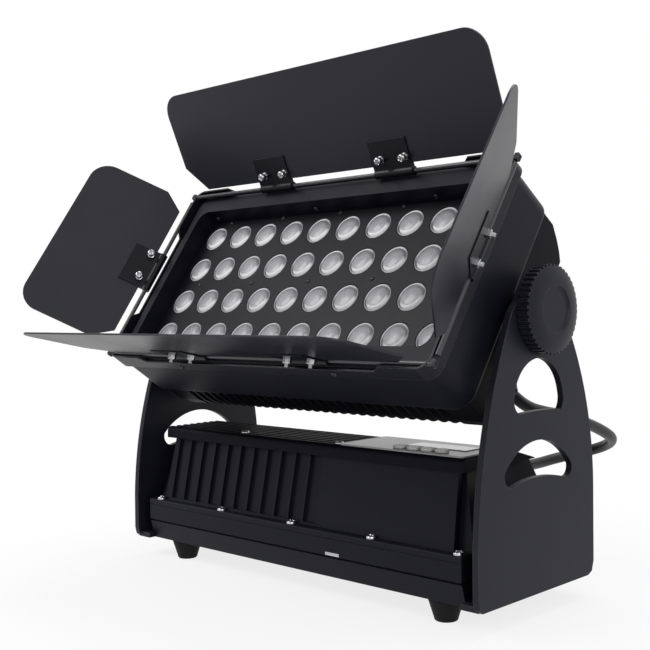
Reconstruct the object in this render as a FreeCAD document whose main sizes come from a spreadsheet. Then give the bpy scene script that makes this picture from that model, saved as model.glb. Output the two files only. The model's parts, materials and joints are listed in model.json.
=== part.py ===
import FreeCAD, Part
import math
import os
from types import SimpleNamespace

import Sketcher

# LED wash light: a tilting lamp head with four barn doors, carried by two side arms on a driver base.
# Frame: X to the right, Y to the back, Z up, origin at the centre of the pan's underside.
# The head is drawn with its lens face in the XZ plane, lens grid centred, and then tilted into place.
# The doors and clips are drawn with their rod along X and the sheet standing up along Z.

# Driving dimensions in millimetres, degrees and counts
driving = {
    # shared clearances
    "overrun": 2.0,
    "loose_gap": 0.3,
    "running_gap": 0.05,

    # pan under the driver housing
    "pan_end_gap": 13.5,
    "pan_half_depth": 74.0,
    "pan_flare": 5.0,
    "pan_height": 17.3,
    "pan_wall": 3.0,
    "clamp_spacing_wide": 106.0,
    "clamp_spacing_deep": 70.0,
    "clamp_hole_radius": 4.1,

    # rubber feet
    "foot_end_inset": 31.0,
    "foot_side_inset": 15.5,
    "foot_height": 18.4,
    "foot_top_radius": 14.0,
    "foot_tip_radius": 9.5,
    "foot_collar": 2.0,
    "foot_edge": 2.0,

    # driver housing
    "seam_height": 2.0,
    "seam_depth": 2.8,
    "band_overhang": 0.5,
    "ledge_height": 39.0,
    "ledge_round": 2.0,
    "front_wall_foot": 71.0,
    "front_wall_lean": 13.0,
    "rear_wall_foot": 55.0,
    "rear_wall_lean": 22.0,
    "end_wall_lean": 15.0,
    "housing_top": 98.0,
    "housing_wall": 3.0,
    "trim_groove_height": 33.0,
    "trim_groove_width": 1.0,
    "trim_groove_depth": 0.8,
    "cooling_fin_pitch": 18.1,
    "cooling_fin_thickness": 2.2,
    "cooling_fin_count": 12,
    "cooling_end_inset": 7.3,
    "cooling_slot_depth": 7.0,
    "cooling_slot_sill": 2.0,

    # lid with its cross ribs, panel, window and buttons
    "lid_end_inset": 2.0,
    "lid_front": 73.5,
    "lid_crease": 1.0,
    "lid_height": 10.7,
    "lid_edge_height": 0.8,
    "lid_edge_round": 5.0,
    "lid_roof": 3.0,
    "lid_cavity_end": 23.0,
    "lid_cavity_front": 61.0,
    "lid_cavity_back": 3.0,
    "rib_pitch": 8.3,
    "rib_groove_radius": 3.4,
    "rib_groove_lift": 2.0,
    "rib_groove_count": 7,
    "rib_groove_front": 54.0,
    "rib_groove_end": 45.0,
    "panel_end_inset": 8.0,
    "panel_middle_front": 32.0,
    "panel_half_width": 64.5,
    "panel_half_depth": 30.0,
    "panel_corner": 4.0,
    "panel_thickness": 1.2,
    "window_right_of_panel": 19.5,
    "window_behind_panel": 4.0,
    "window_half_width": 30.0,
    "window_half_depth": 10.0,
    "window_proud": 0.6,
    "window_gap": 0.1,
    "button_left_of_panel": 5.5,
    "button_pitch": 14.0,
    "button_count": 4,
    "button_before_panel": 20.0,
    "button_radius": 5.7,
    "button_cap_height": 2.4,
    "button_travel": 1.0,
    "button_stem_radius": 2.9,
    "button_stem_reach": 1.5,
    "board_half_width": 48.0,
    "board_half_depth": 26.0,
    "board_thickness": 1.6,
    "board_drop": 4.6,
    "board_post_radius": 2.5,
    "board_post_inset": 6.0,
    "switch_half_side": 3.0,
    "switch_gap": 0.3,

    # power supply on the pan's floor
    "supply_end_inset": 30.0,
    "supply_half_width": 45.0,
    "supply_half_depth": 42.0,
    "supply_height": 50.0,

    # connectors and cable glands
    "connector_radius": 10.5,
    "connector_flange_radius": 13.0,
    "connector_flange": 3.0,
    "connector_length": 14.0,
    "connector_cap_radius": 11.8,
    "connector_cap": 12.0,
    "connector_height": 68.0,
    "connector_end_inset": 60.0,
    "connector_pitch": 38.0,
    "gland_radius": 9.5,
    "gland_nut_radius": 7.6,
    "gland_flange": 4.0,
    "gland_length": 18.0,
    "base_gland_end_inset": 80.0,
    "head_gland_side_inset": 15.0,
    "head_gland_drop": 45.0,
    "cable_radius": 5.0,
    "cable_end_gap": 0.1,

    # side arms
    "arm_half_depth": 87.5,
    "arm_head_gap": 11.0,
    "arm_thickness": 5.5,
    "arm_flange_front": 81.0,
    "arm_flange_back": 70.0,
    "arm_flange_height": 4.5,
    "arm_foot_half_depth": 64.0,
    "arm_foot_height": 16.0,

    # pivot and knobs
    "pivot_clearance": 19.3003,
    "pivot_back": 2.0,
    "stud_radius": 6.0,
    "stud_grip": 9.0,
    "stud_root": 10.0,
    "pivot_boss_radius": 12.5,
    "knob_radius": 35.0,
    "knob_boss_radius": 20.0,
    "knob_boss": 0.6,
    "knob_rim": 10.0,
    "knob_dome": 3.5,
    "knob_dish_radius": 17.3,
    "knob_dish_slope": 1.5,
    "knob_dish_depth": 1.4,
    "knob_notch_count": 44,
    "knob_notch_width": 2.6,
    "knob_notch_depth": 1.6,

    # head
    "head_tilt": 34.94,
    "face_reach": 53.2,
    "face_drop": 3.35,
    "head_side_margin": 30.5,
    "head_end_margin": 41.0,
    "head_corner": 16.0,
    "head_front": 12.0,
    "head_back": 40.0,
    "head_wall": 5.5,
    "head_back_round": 5.0,
    "bezel_front": 18.5,
    "bezel_round": 5.0,
    "bezel_width_side": 12.5,
    "bezel_width_end": 21.0,
    "opening_corner": 11.0,
    "collar_wall": 4.0,
    "lens_pitch_wide": 36.0,
    "lens_pitch_high": 38.0,
    "lens_columns": 10,
    "lens_rows": 4,
    "lens_radius": 13.3,
    "lens_foot_radius": 6.0,
    "lens_hole_gap": 0.5,
    "lens_recess": 0.8,
    "lens_plate_thickness": 3.0,
    "led_half_side": 3.5,
    "led_height": 1.6,
    "led_board_front": 16.0,
    "led_board_thickness": 1.6,
    "led_board_margin": 18.0,

    # heat sink on the back of the head
    "sink_slab": 6.4,
    "sink_back": 84.0,
    "sink_edge_inset": 1.5,
    "sink_first_fin_inset": 0.5,
    "sink_fin_thickness": 3.2,
    "sink_fin_count": 30,
    "sink_cheek_width": 27.0,

    # door frame and rods
    "frame_gap": 0.4,
    "frame_sheet": 1.6,
    "frame_corner": 12.0,
    "frame_back": 9.0,
    "frame_front": 25.4,
    "frame_cut_front": 18.5,
    "frame_tab_back": 5.0,
    "frame_cut_side_inset": 42.5,
    "frame_cut_end_inset": 43.0,
    "frame_tab_end_inset": 37.0,
    "frame_tab_slope": 10.0,
    "rod_radius": 2.0,
    "rod_front": 23.2,
    "rod_outside": 2.5,
    "rod_inside": 6.0,
    "rod_block_half": 4.0,
    "rod_block_out": 2.6,
    "rod_block_high": 11.0,

    # barn doors and their clips
    "door_sheet": 1.5,
    "door_start": 7.3,
    "door_length": 105.0,
    "door_corner": 14.0,
    "door_side_overhang": 2.5,
    "door_hinge_side_inset": 21.9,
    "door_wide_taper": 24.4,
    "door_end_inset": 11.0,
    "door_hinge_end_inset": 26.0,
    "door_high_taper": 20.0,
    "clip_half_length": 21.0,
    "clip_leaf": 1.2,
    "clip_reach": 30.0,
    "clip_knuckle_radius": 4.0,
    "clip_overlap": 1.0,
    "clip_from_middle": 73.0,
    "door_top_angle": 57.8,
    "door_bottom_angle": 67.5,
    "door_left_angle": 50.4,
    "door_right_angle": 59.3,
}

# Outlines as shares of the arm's half depth and of the pivot's height
arm_outline_shares = [
    (-0.91, 0.0), (0.76, 0.0), (0.83, 0.012), (0.862, 0.05), (0.874, 0.35), (0.527, 0.897),
    (0.5, 1.06), (-0.33, 1.03), (-0.425, 0.995), (-0.957, 0.19), (-0.962, 0.04), (-0.945, 0.012),
]
arm_outline_rise_shares = {4: 0.035, 6: 0.09, 8: 0.0455}
upper_hole_shares = [(-0.33, 0.641), (0.33, 0.638), (0.365, 0.7), (-0.409, 0.7)]
upper_hole_rise_shares = {0: -0.006, 1: 0.009, 2: 0.13, 3: 0.012}
lower_hole_shares = [(-0.454, 0.393), (0.4, 0.389), (0.497, 0.433), (-0.565, 0.45)]
lower_hole_rise_shares = {0: -0.021, 1: 0.016, 2: 0.1, 3: 0.02}

# Heat sink profile above and below, as shares of its depth behind the slab and of its half height
sink_upper_shares = [(0.58, 1.0), (0.76, 0.93), (0.9, 0.86), (1.0, 0.79)]
sink_lower_shares = [(0.72, 1.0), (0.9, 0.97), (1.0, 0.91)]

# Route of the cable between the two glands, whose ends come first and last
cable_route = [
    (172, 30.7, 140.5), (175, 59, 132.5), (178.5, 84, 128.5), (180, 108, 121), (180.5, 130, 114),
    (180, 150, 106.5), (176.5, 166, 100), (167, 178.6, 93.5), (153, 185.4, 87.5),
    (137.4, 185.4, 82.5), (123.4, 178.6, 78.5), (113.8, 166, 75.5), (110.3, 150, 73.5),
    (109.6, 131, 73.5), (110.6, 113, 76), (110, 96, 80), (110, 80, 81),
]

doc = FreeCAD.newDocument("WashLight")
sheet = doc.addObject("Spreadsheet::Sheet", "Sizes")
for row, (name, number) in enumerate(driving.items(), start=1):
    sheet.set("A%d" % row, name)
    sheet.set("B%d" % row, str(number))
    sheet.setAlias("B%d" % row, name)
doc.recompute()


# A size carries its number and the spreadsheet expression that gives it
class Size:
    def __init__(self, number, text):
        self.number = number
        self.text = text

    def __add__(self, other):
        other = sized(other)
        return Size(self.number + other.number, "(%s + %s)" % (self.text, other.text))

    def __sub__(self, other):
        other = sized(other)
        return Size(self.number - other.number, "(%s - %s)" % (self.text, other.text))

    def __mul__(self, other):
        other = sized(other)
        return Size(self.number * other.number, "(%s * %s)" % (self.text, other.text))

    def __truediv__(self, other):
        other = sized(other)
        return Size(self.number / other.number, "(%s / %s)" % (self.text, other.text))

    def __neg__(self):
        return Size(-self.number, "(-%s)" % self.text)

    __radd__ = __add__
    __rmul__ = __mul__


def sized(value):
    if isinstance(value, Size):
        return value
    return Size(float(value), "(%s)" % value)


def leanOf(run, rise):
    # angle in degrees whose tangent is run over rise
    return Size(math.degrees(math.atan2(run.number, rise.number)),
                "(atan2(%s; %s) / 1 deg)" % (run.text, rise.text))


def lengthOf(across, along):
    # the third side of a right-angled triangle
    return Size(math.hypot(across.number, along.number),
                "sqrt(%s * %s + %s * %s)" % (across.text, across.text, along.text, along.text))


s = SimpleNamespace(**{name: Size(float(number), "Sizes." + name) for name, number in driving.items()})

# The head's sizes follow from its lens grid
quarterTurn = sized(90)
lensGridHalfWidth = s.lens_pitch_wide * (s.lens_columns - 1) / 2
lensGridHalfHeight = s.lens_pitch_high * (s.lens_rows - 1) / 2
headHalfWidth = lensGridHalfWidth + s.head_side_margin
headHalfHeight = lensGridHalfHeight + s.head_end_margin
openingHalfWidth = headHalfWidth - s.bezel_width_side
openingHalfHeight = headHalfHeight - s.bezel_width_end
housingInnerHalfWidth = headHalfWidth - s.head_wall
housingInnerHalfHeight = headHalfHeight - s.head_wall
frameHalfWidth = headHalfWidth + s.frame_gap + s.frame_sheet
frameHalfHeight = headHalfHeight + s.frame_gap + s.frame_sheet
rodHalfWidth = frameHalfWidth + s.rod_outside
rodHalfHeight = frameHalfHeight - s.rod_inside
rodBlockBottom = rodHalfHeight + s.rod_block_half - s.rod_block_high
lensBack = s.led_board_front - s.led_height
sinkFront = s.led_board_front + s.led_board_thickness
sinkFinRoot = sinkFront + s.sink_slab
sinkHalfHeight = housingInnerHalfHeight - s.sink_edge_inset
sinkCheekInner = housingInnerHalfWidth - s.sink_cheek_width
sinkFinPitch = (sinkCheekInner - s.sink_first_fin_inset) * 2 / (s.sink_fin_count - 1)

# The arms stand beside the head, and the base fills the room between them
armInnerFace = headHalfWidth + s.arm_head_gap
armOuterFace = armInnerFace + s.arm_thickness
panHalfWidth = armInnerFace - s.pan_end_gap
bandHalfDepth = s.pan_half_depth + s.pan_flare + s.band_overhang
bandBottom = s.pan_height + s.seam_height
lidTop = s.housing_top + s.lid_height
lidHalfWidth = panHalfWidth - s.lid_end_inset
panelMiddle = lidHalfWidth - s.panel_end_inset - s.panel_half_width
windowMiddle = panelMiddle + s.window_right_of_panel
windowFront = s.panel_middle_front - s.window_behind_panel
buttonFirst = panelMiddle - s.button_left_of_panel
buttonFront = s.panel_middle_front + s.button_before_panel
rearWallLean = leanOf(s.rear_wall_lean, s.housing_top - s.ledge_height)

# The pivot is high enough for the heat sink's lower back corner to swing over the lid
sinkSwing = lengthOf(s.sink_back - s.face_reach, sinkHalfHeight * sink_lower_shares[-1][1] + s.face_drop)
pivotHeight = lidTop + sinkSwing + s.pivot_clearance


def rearWallAt(height):
    # distance of the rear wall's face from the middle at a height
    rise = s.housing_top - s.ledge_height
    return s.rear_wall_foot - s.rear_wall_lean * (height - s.ledge_height) / rise


# Helpers for bodies, sketches and features
def bind(thing, name, value):
    thing.setExpression(name, sized(value).text)


def newBody(label):
    made = doc.addObject("PartDesign::Body", label)
    made.Label = label
    return made


def originPart(body, role):
    return next(item for item in body.Origin.OriginFeatures if item.Role == role)


def newSketch(body, name, role, offset=0):
    made = body.newObject("Sketcher::SketchObject", name)
    made.AttachmentSupport = [(originPart(body, role), "")]
    made.MapMode = "FlatFace"
    bind(made, ".AttachmentOffset.Base.z", offset)
    return made


def fix(sketch, kind, *where):
    value = sized(where[-1])
    index = sketch.addConstraint(Sketcher.Constraint(kind, *where[:-1], value.number))
    sketch.setExpression("Constraints[%d]" % index, value.text)


def addCircle(sketch, across, along, radius):
    across, along, radius = sized(across), sized(along), sized(radius)
    centre = FreeCAD.Vector(across.number, along.number, 0)
    made = sketch.addGeometry(Part.Circle(centre, FreeCAD.Vector(0, 0, 1), radius.number), False)
    fix(sketch, "DistanceX", -1, 1, made, 3, across)
    fix(sketch, "DistanceY", -1, 1, made, 3, along)
    fix(sketch, "Radius", made, radius)


def arcBetween(start, end, radius):
    # the short arc from start to end, bulging to the right of the way for a positive radius
    chord = end - start
    half = chord.Length / 2
    reach = math.sqrt(max(radius * radius - half * half, 0.0))
    left = FreeCAD.Vector(-chord.y, chord.x, 0).normalize()
    centre = (start + end) / 2 + left * math.copysign(reach, radius)
    circle = Part.Circle(centre, FreeCAD.Vector(0, 0, 1), abs(radius))
    ends = [math.atan2(point.y - centre.y, point.x - centre.x) for point in (start, end)]
    if radius < 0:
        ends.reverse()
    if ends[1] < ends[0]:
        ends[1] += 2 * math.pi
    return Part.ArcOfCircle(circle, *ends)


def addOutline(sketch, points, arcs=None):
    # a closed outline through the points, with an arc of the given radius from each point in arcs
    arcs = arcs or {}
    points = [(sized(across), sized(along)) for across, along in points]
    spots = [FreeCAD.Vector(across.number, along.number, 0) for across, along in points]
    count = len(points)
    edges = []
    for index in range(count):
        start, end = spots[index], spots[(index + 1) % count]
        if index in arcs:
            radius = sized(arcs[index])
            edge = sketch.addGeometry(arcBetween(start, end, radius.number), False)
            edges.append((edge, 1, 2) if radius.number > 0 else (edge, 2, 1))
            fix(sketch, "Radius", edge, radius if radius.number > 0 else -radius)
        else:
            edges.append((sketch.addGeometry(Part.LineSegment(start, end), False), 1, 2))
    for index in range(count):
        edge, first, last = edges[index]
        nextEdge, nextFirst, nextLast = edges[(index + 1) % count]
        sketch.addConstraint(Sketcher.Constraint("Coincident", edge, last, nextEdge, nextFirst))
        fix(sketch, "DistanceX", -1, 1, edge, first, points[index][0])
        fix(sketch, "DistanceY", -1, 1, edge, first, points[index][1])


def addRectangle(sketch, left, right, low, high):
    addOutline(sketch, [(left, low), (right, low), (right, high), (left, high)])


def addRoundedRectangle(sketch, halfWide, halfHigh, corner, middle=(0, 0)):
    left, right = sized(middle[0]) - halfWide, sized(middle[0]) + halfWide
    low, high = sized(middle[1]) - halfHigh, sized(middle[1]) + halfHigh
    points = [
        (left + corner, low), (right - corner, low), (right, low + corner), (right, high - corner),
        (right - corner, high), (left + corner, high), (left, high - corner), (left, low + corner),
    ]
    addOutline(sketch, points, {1: corner, 3: corner, 5: corner, 7: corner})


def riseRadius(start, end, rise):
    # radius of the arc over a chord that rises by the given height
    wide, high = end[0] - start[0], end[1] - start[1]
    return (wide * wide + high * high) / (rise * 8) + rise / 2


def addShareOutline(sketch, shares, rises):
    # an arm outline from its shares
    points = [(s.arm_half_depth * across, pivotHeight * along) for across, along in shares]
    arcs = {}
    for index, rise in rises.items():
        start, end = points[index], points[(index + 1) % len(points)]
        arcs[index] = riseRadius(start, end, pivotHeight * rise)
    addOutline(sketch, points, arcs)


def addPad(body, sketch, name, length, symmetric=False, backward=False):
    made = body.newObject("PartDesign::Pad", name)
    made.Profile = sketch
    bind(made, "Length", length)
    made.SideType = "Symmetric" if symmetric else "One side"
    made.Reversed = backward
    return made


def addPocket(body, sketch, name, length=None, symmetric=False, forward=False):
    # a cut of the given length against the sketch's normal, or right through both ways
    made = body.newObject("PartDesign::Pocket", name)
    made.Profile = sketch
    if length is None:
        made.Type = "ThroughAll"
        made.SideType = "Symmetric"
    else:
        bind(made, "Length", length)
        made.SideType = "Symmetric" if symmetric else "One side"
    made.Reversed = forward
    return made


def addRevolution(body, sketch, name, axis):
    made = body.newObject("PartDesign::Revolution", name)
    made.Profile = sketch
    made.ReferenceAxis = (sketch, [axis])
    return made


def setRow(body, pattern, role, pitch, count):
    pattern.Direction = (originPart(body, role), [""])
    pattern.Mode = "Spacing"
    bind(pattern, "Offset", pitch)
    bind(pattern, "Occurrences", count)


def addRow(body, name, originals, role, pitch, count):
    made = body.newObject("PartDesign::LinearPattern", name)
    made.Originals = originals
    setRow(body, made, role, pitch, count)
    body.Tip = made
    return made


def addGrid(body, name, originals, *rows):
    # copies in rows and columns, each given by its origin axis, pitch and count
    made = body.newObject("PartDesign::MultiTransform", name)
    made.Originals = originals
    patterns = []
    for role, pitch, count in rows:
        pattern = doc.addObject("PartDesign::LinearPattern", name + role[0])
        setRow(body, pattern, role, pitch, count)
        patterns.append(pattern)
    made.Transformations = patterns
    body.Tip = made
    return made


def addMirror(body, name, originals, role):
    made = body.newObject("PartDesign::Mirrored", name)
    made.Originals = originals
    made.MirrorPlane = (originPart(body, role), [""])
    body.Tip = made
    return made


def addFillet(body, base, name, radius, wanted):
    # rounds the edges of the base feature that the test picks
    doc.recompute()
    edges = ["Edge%d" % (index + 1) for index, edge in enumerate(base.Shape.Edges) if wanted(edge)]
    made = body.newObject("PartDesign::Fillet", name)
    made.Base = (base, edges)
    bind(made, "Radius", radius)
    return made


def liesAt(edge, axis, place):
    # true for an edge that lies wholly at one place along an axis
    box = edge.BoundBox
    low, high = {"x": (box.XMin, box.XMax), "y": (box.YMin, box.YMax), "z": (box.ZMin, box.ZMax)}[axis]
    near = driving["running_gap"]
    return abs(low - place.number) < near and abs(high - place.number) < near


def placeAt(thing, across, back, up):
    bind(thing, ".Placement.Base.x", across)
    bind(thing, ".Placement.Base.y", back)
    bind(thing, ".Placement.Base.z", up)


def turned(across, back, up, axis, angle):
    spot = "; ".join(sized(value).text for value in (across, back, up))
    way = "; ".join(str(value) for value in axis)
    return "placement(vector(%s); rotation(vector(%s); %s))" % (spot, way, sized(angle).text)


def headPlace():
    # from the lens face's own frame to the frame of the whole light
    tilt = turned(0, s.pivot_back, pivotHeight, (1, 0, 0), -s.head_tilt)
    return tilt + " * " + turned(0, -s.face_reach, -s.face_drop, (1, 0, 0), 0)


def placeOnHead(thing, *turns):
    thing.setExpression("Placement", " * ".join((headPlace(),) + turns))


def mirroredCopy(source, label):
    made = doc.addObject("Part::Mirroring", label)
    made.Label = label
    made.Source = source
    made.Normal = FreeCAD.Vector(1, 0, 0)
    return made


# Base pieces
def makePan():
    body = newBody("base_pan")
    side = newSketch(body, "PanSide", "YZ_Plane")
    top = s.pan_half_depth + s.pan_flare
    addOutline(side, [(-s.pan_half_depth, 0), (s.pan_half_depth, 0), (top, s.pan_height),
                      (-top, s.pan_height)])
    addPad(body, side, "Pan", panHalfWidth * 2, symmetric=True)
    hollow = newSketch(body, "PanHollow", "YZ_Plane")
    inner = s.pan_half_depth - s.pan_wall
    addOutline(hollow, [(-inner, s.pan_wall), (inner, s.pan_wall),
                        (inner + s.pan_flare, s.pan_height + s.overrun),
                        (-inner - s.pan_flare, s.pan_height + s.overrun)])
    addPocket(body, hollow, "Hollow", (panHalfWidth - s.pan_wall) * 2, symmetric=True)
    holes = newSketch(body, "ClampHoles", "XY_Plane")
    for across in (-s.clamp_spacing_wide / 2, s.clamp_spacing_wide / 2):
        for along in (-s.clamp_spacing_deep / 2, s.clamp_spacing_deep / 2):
            addCircle(holes, across, along, s.clamp_hole_radius)
    addPocket(body, holes, "ClampBoltHoles")
    return [body]


def makeFeet():
    body = newBody("rubber_feet")
    profile = newSketch(body, "FootProfile", "XZ_Plane")
    low = -s.foot_height
    addOutline(profile, [(0, low), (s.foot_tip_radius - s.foot_edge, low),
                         (s.foot_tip_radius, low + s.foot_edge),
                         (s.foot_top_radius, -s.foot_collar), (s.foot_top_radius, 0), (0, 0)],
               {1: s.foot_edge})
    foot = addRevolution(body, profile, "Foot", "V_Axis")
    footAcross = panHalfWidth - s.foot_end_inset
    footAlong = s.pan_half_depth - s.foot_side_inset
    addGrid(body, "FourFeet", [foot], ("X_Axis", footAcross * 2, 2),
            ("Y_Axis", footAlong * 2, 2))
    placeAt(body, -footAcross, -footAlong, 0)
    return [body]


def makeHousing():
    body = newBody("driver_housing")
    side = newSketch(body, "HousingSide", "YZ_Plane")
    ledge = s.ledge_height - s.ledge_round
    grooveTop = s.trim_groove_height + s.trim_groove_width
    grooveIn = bandHalfDepth - s.trim_groove_depth
    addOutline(side, [
        (-bandHalfDepth, bandBottom), (bandHalfDepth, bandBottom),
        (bandHalfDepth, s.trim_groove_height), (grooveIn, s.trim_groove_height),
        (grooveIn, grooveTop), (bandHalfDepth, grooveTop),
        (bandHalfDepth, ledge), (bandHalfDepth - s.ledge_round, s.ledge_height),
        (s.rear_wall_foot, s.ledge_height), (s.rear_wall_foot - s.rear_wall_lean, s.housing_top),
        (-(s.front_wall_foot - s.front_wall_lean), s.housing_top), (-s.front_wall_foot, s.ledge_height),
        (-(bandHalfDepth - s.ledge_round), s.ledge_height), (-bandHalfDepth, ledge),
        (-bandHalfDepth, grooveTop), (-grooveIn, grooveTop),
        (-grooveIn, s.trim_groove_height), (-bandHalfDepth, s.trim_groove_height),
    ], {6: s.ledge_round, 12: s.ledge_round})
    addPad(body, side, "Housing", panHalfWidth * 2, symmetric=True)
    seam = newSketch(body, "SeamPlan", "XY_Plane", s.pan_height)
    addRectangle(seam, -(panHalfWidth - s.seam_depth), panHalfWidth - s.seam_depth,
                 -(bandHalfDepth - s.seam_depth), bandHalfDepth - s.seam_depth)
    addPad(body, seam, "SeatingRim", s.seam_height)
    ends = newSketch(body, "EndSlopes", "XZ_Plane")
    out = panHalfWidth + s.overrun
    for sign in (1, -1):
        corner = panHalfWidth - s.end_wall_lean
        slope = [(panHalfWidth * sign, s.ledge_height), (out * sign, s.ledge_height),
                 (out * sign, s.housing_top + s.overrun), (corner * sign, s.housing_top + s.overrun),
                 (corner * sign, s.housing_top)]
        addOutline(ends, slope)
    addPocket(body, ends, "SlopedEnds")
    hollow = newSketch(body, "HousingHollow", "YZ_Plane")
    front = s.front_wall_foot - s.cooling_slot_depth - s.housing_wall
    back = s.rear_wall_foot - s.housing_wall
    addOutline(hollow, [
        (-front, s.pan_height - s.overrun), (back, s.pan_height - s.overrun), (back, s.ledge_height),
        (back - s.rear_wall_lean, s.housing_top - s.housing_wall),
        (-(front - s.front_wall_lean), s.housing_top - s.housing_wall), (-front, s.ledge_height),
    ])
    inside = panHalfWidth - s.end_wall_lean - s.housing_wall * 2
    addPocket(body, hollow, "Inside", inside * 2, symmetric=True)
    firstFin = s.cooling_end_inset + s.end_wall_lean - panHalfWidth
    slot = newSketch(body, "CoolingSlot", "YZ_Plane", firstFin + s.cooling_fin_thickness / 2)
    sill = s.ledge_height + s.cooling_slot_sill
    slotBack = s.front_wall_foot - s.cooling_slot_depth
    addOutline(slot, [
        (-(s.front_wall_foot + s.overrun), sill), (-slotBack, sill),
        (-(slotBack - s.front_wall_lean), s.housing_top + s.overrun),
        (-(s.front_wall_foot + s.overrun), s.housing_top + s.overrun),
    ])
    width = s.cooling_fin_pitch - s.cooling_fin_thickness
    cut = addPocket(body, slot, "Slot", width, forward=True)
    addRow(body, "SlotRow", [cut], "X_Axis", s.cooling_fin_pitch, s.cooling_fin_count - 1)
    return [body]


def makeLid():
    body = newBody("driver_lid")
    side = newSketch(body, "LidSide", "YZ_Plane")
    rear = s.rear_wall_foot - s.rear_wall_lean
    addOutline(side, [
        (-s.lid_front, s.housing_top), (rear, s.housing_top), (rear, s.housing_top + s.lid_edge_height),
        (-s.lid_crease, lidTop), (-(s.lid_front - s.lid_edge_round), lidTop),
        (-s.lid_front, lidTop - s.lid_edge_round),
    ], {4: s.lid_edge_round})
    addPad(body, side, "Lid", lidHalfWidth * 2, symmetric=True)
    hollow = newSketch(body, "LidHollow", "XY_Plane", s.housing_top - s.overrun)
    cavity = lidHalfWidth - s.lid_cavity_end
    addRectangle(hollow, -cavity, cavity, -s.lid_cavity_front, -s.lid_cavity_back)
    addPocket(body, hollow, "Cavity", s.lid_height - s.lid_roof + s.overrun, forward=True)
    stems = newSketch(body, "StemHoles", "XY_Plane", lidTop)
    for index in range(int(driving["button_count"])):
        addCircle(stems, buttonFirst + s.button_pitch * index, -buttonFront,
                  s.button_stem_radius + s.loose_gap)
    addPocket(body, stems, "ButtonHoles", s.lid_roof + s.overrun)
    groove = newSketch(body, "RibGroove", "YZ_Plane", -(lidHalfWidth + s.overrun))
    addCircle(groove, -s.rib_groove_front, lidTop + s.rib_groove_lift, s.rib_groove_radius)
    cut = addPocket(body, groove, "Groove", lidHalfWidth + s.overrun + s.rib_groove_end, forward=True)
    addRow(body, "CrossRibs", [cut], "Y_Axis", s.rib_pitch, s.rib_groove_count)
    return [body]


def makeControls():
    panel = newBody("control_panel")
    plan = newSketch(panel, "PanelPlan", "XY_Plane", lidTop)
    addRoundedRectangle(plan, s.panel_half_width, s.panel_half_depth, s.panel_corner,
                        (panelMiddle, -s.panel_middle_front))
    middle = (windowMiddle, -windowFront)
    addRectangle(plan, middle[0] - s.window_half_width, middle[0] + s.window_half_width,
                 middle[1] - s.window_half_depth, middle[1] + s.window_half_depth)
    for index in range(int(driving["button_count"])):
        addCircle(plan, buttonFirst + s.button_pitch * index, -buttonFront,
                  s.button_radius + s.loose_gap)
    addPad(panel, plan, "Panel", s.panel_thickness)

    window = newBody("display_window")
    pane = newSketch(window, "WindowPlan", "XY_Plane", lidTop)
    wide, deep = s.window_half_width - s.window_gap, s.window_half_depth - s.window_gap
    addRectangle(pane, middle[0] - wide, middle[0] + wide, middle[1] - deep, middle[1] + deep)
    addPad(window, pane, "Window", s.panel_thickness + s.window_proud)

    board = newBody("control_board")
    boardTop = lidTop - s.lid_roof - s.board_drop
    outline = newSketch(board, "BoardPlan", "XY_Plane", boardTop)
    wide, deep = s.board_half_width, s.board_half_depth
    across, along = panelMiddle, -s.panel_middle_front
    addRectangle(outline, across - wide, across + wide, along - deep, along + deep)
    addPad(board, outline, "Board", s.board_thickness, backward=True)
    posts = newSketch(board, "Posts", "XY_Plane", boardTop)
    for right in (-1, 1):
        post = wide - s.board_post_inset
        addCircle(posts, across + post * right, along + (deep - s.board_post_inset), s.board_post_radius)
    addPad(board, posts, "HangingPosts", s.board_drop)
    switches = newSketch(board, "Switches", "XY_Plane", boardTop)
    for index in range(int(driving["button_count"])):
        spot = buttonFirst + s.button_pitch * index
        half = s.switch_half_side
        addRectangle(switches, spot - half, spot + half, -buttonFront - half, -buttonFront + half)
    room = s.board_drop - s.button_stem_reach - s.button_travel - s.switch_gap
    addPad(board, switches, "SwitchBodies", room)
    return [panel, window, board]


def makeButton(index, label):
    # a round cap on a stem that reaches through the lid to its switch
    body = newBody(label)
    profile = newSketch(body, "ButtonProfile", "XZ_Plane")
    capLow = s.loose_gap + s.button_travel
    addOutline(profile, [
        (0, -(s.lid_roof + s.button_stem_reach)),
        (s.button_stem_radius, -(s.lid_roof + s.button_stem_reach)), (s.button_stem_radius, capLow),
        (s.button_radius, capLow), (s.button_radius, capLow + s.button_cap_height),
        (0, capLow + s.button_cap_height),
    ])
    addRevolution(body, profile, "Button", "V_Axis")
    placeAt(body, buttonFirst + s.button_pitch * index, -buttonFront, lidTop)
    return [body]


def makeSupply():
    body = newBody("power_supply")
    plan = newSketch(body, "SupplyPlan", "XY_Plane", s.pan_wall)
    left = s.supply_end_inset - panHalfWidth
    addRectangle(plan, left, left + s.supply_half_width * 2, -s.supply_half_depth, s.supply_half_depth)
    addPad(body, plan, "Supply", s.supply_height)
    return [body]


def makeConnector(index, label):
    # a flanged panel connector under its screwed cap, square to the sloping rear wall
    body = newBody(label)
    profile = newSketch(body, "ConnectorProfile", "XZ_Plane")
    addOutline(profile, [
        (0, 0), (s.connector_flange_radius, 0), (s.connector_flange_radius, s.connector_flange),
        (s.connector_radius, s.connector_flange), (s.connector_radius, s.connector_length),
        (s.connector_cap_radius, s.connector_length),
        (s.connector_cap_radius, s.connector_length + s.connector_cap),
        (0, s.connector_length + s.connector_cap),
    ])
    addRevolution(body, profile, "Connector", "V_Axis")
    across = s.connector_end_inset - panHalfWidth + s.connector_pitch * index
    place = turned(across, rearWallAt(s.connector_height), s.connector_height, (1, 0, 0),
                   rearWallLean - quarterTurn)
    body.setExpression("Placement", place)
    return [body]


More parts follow.
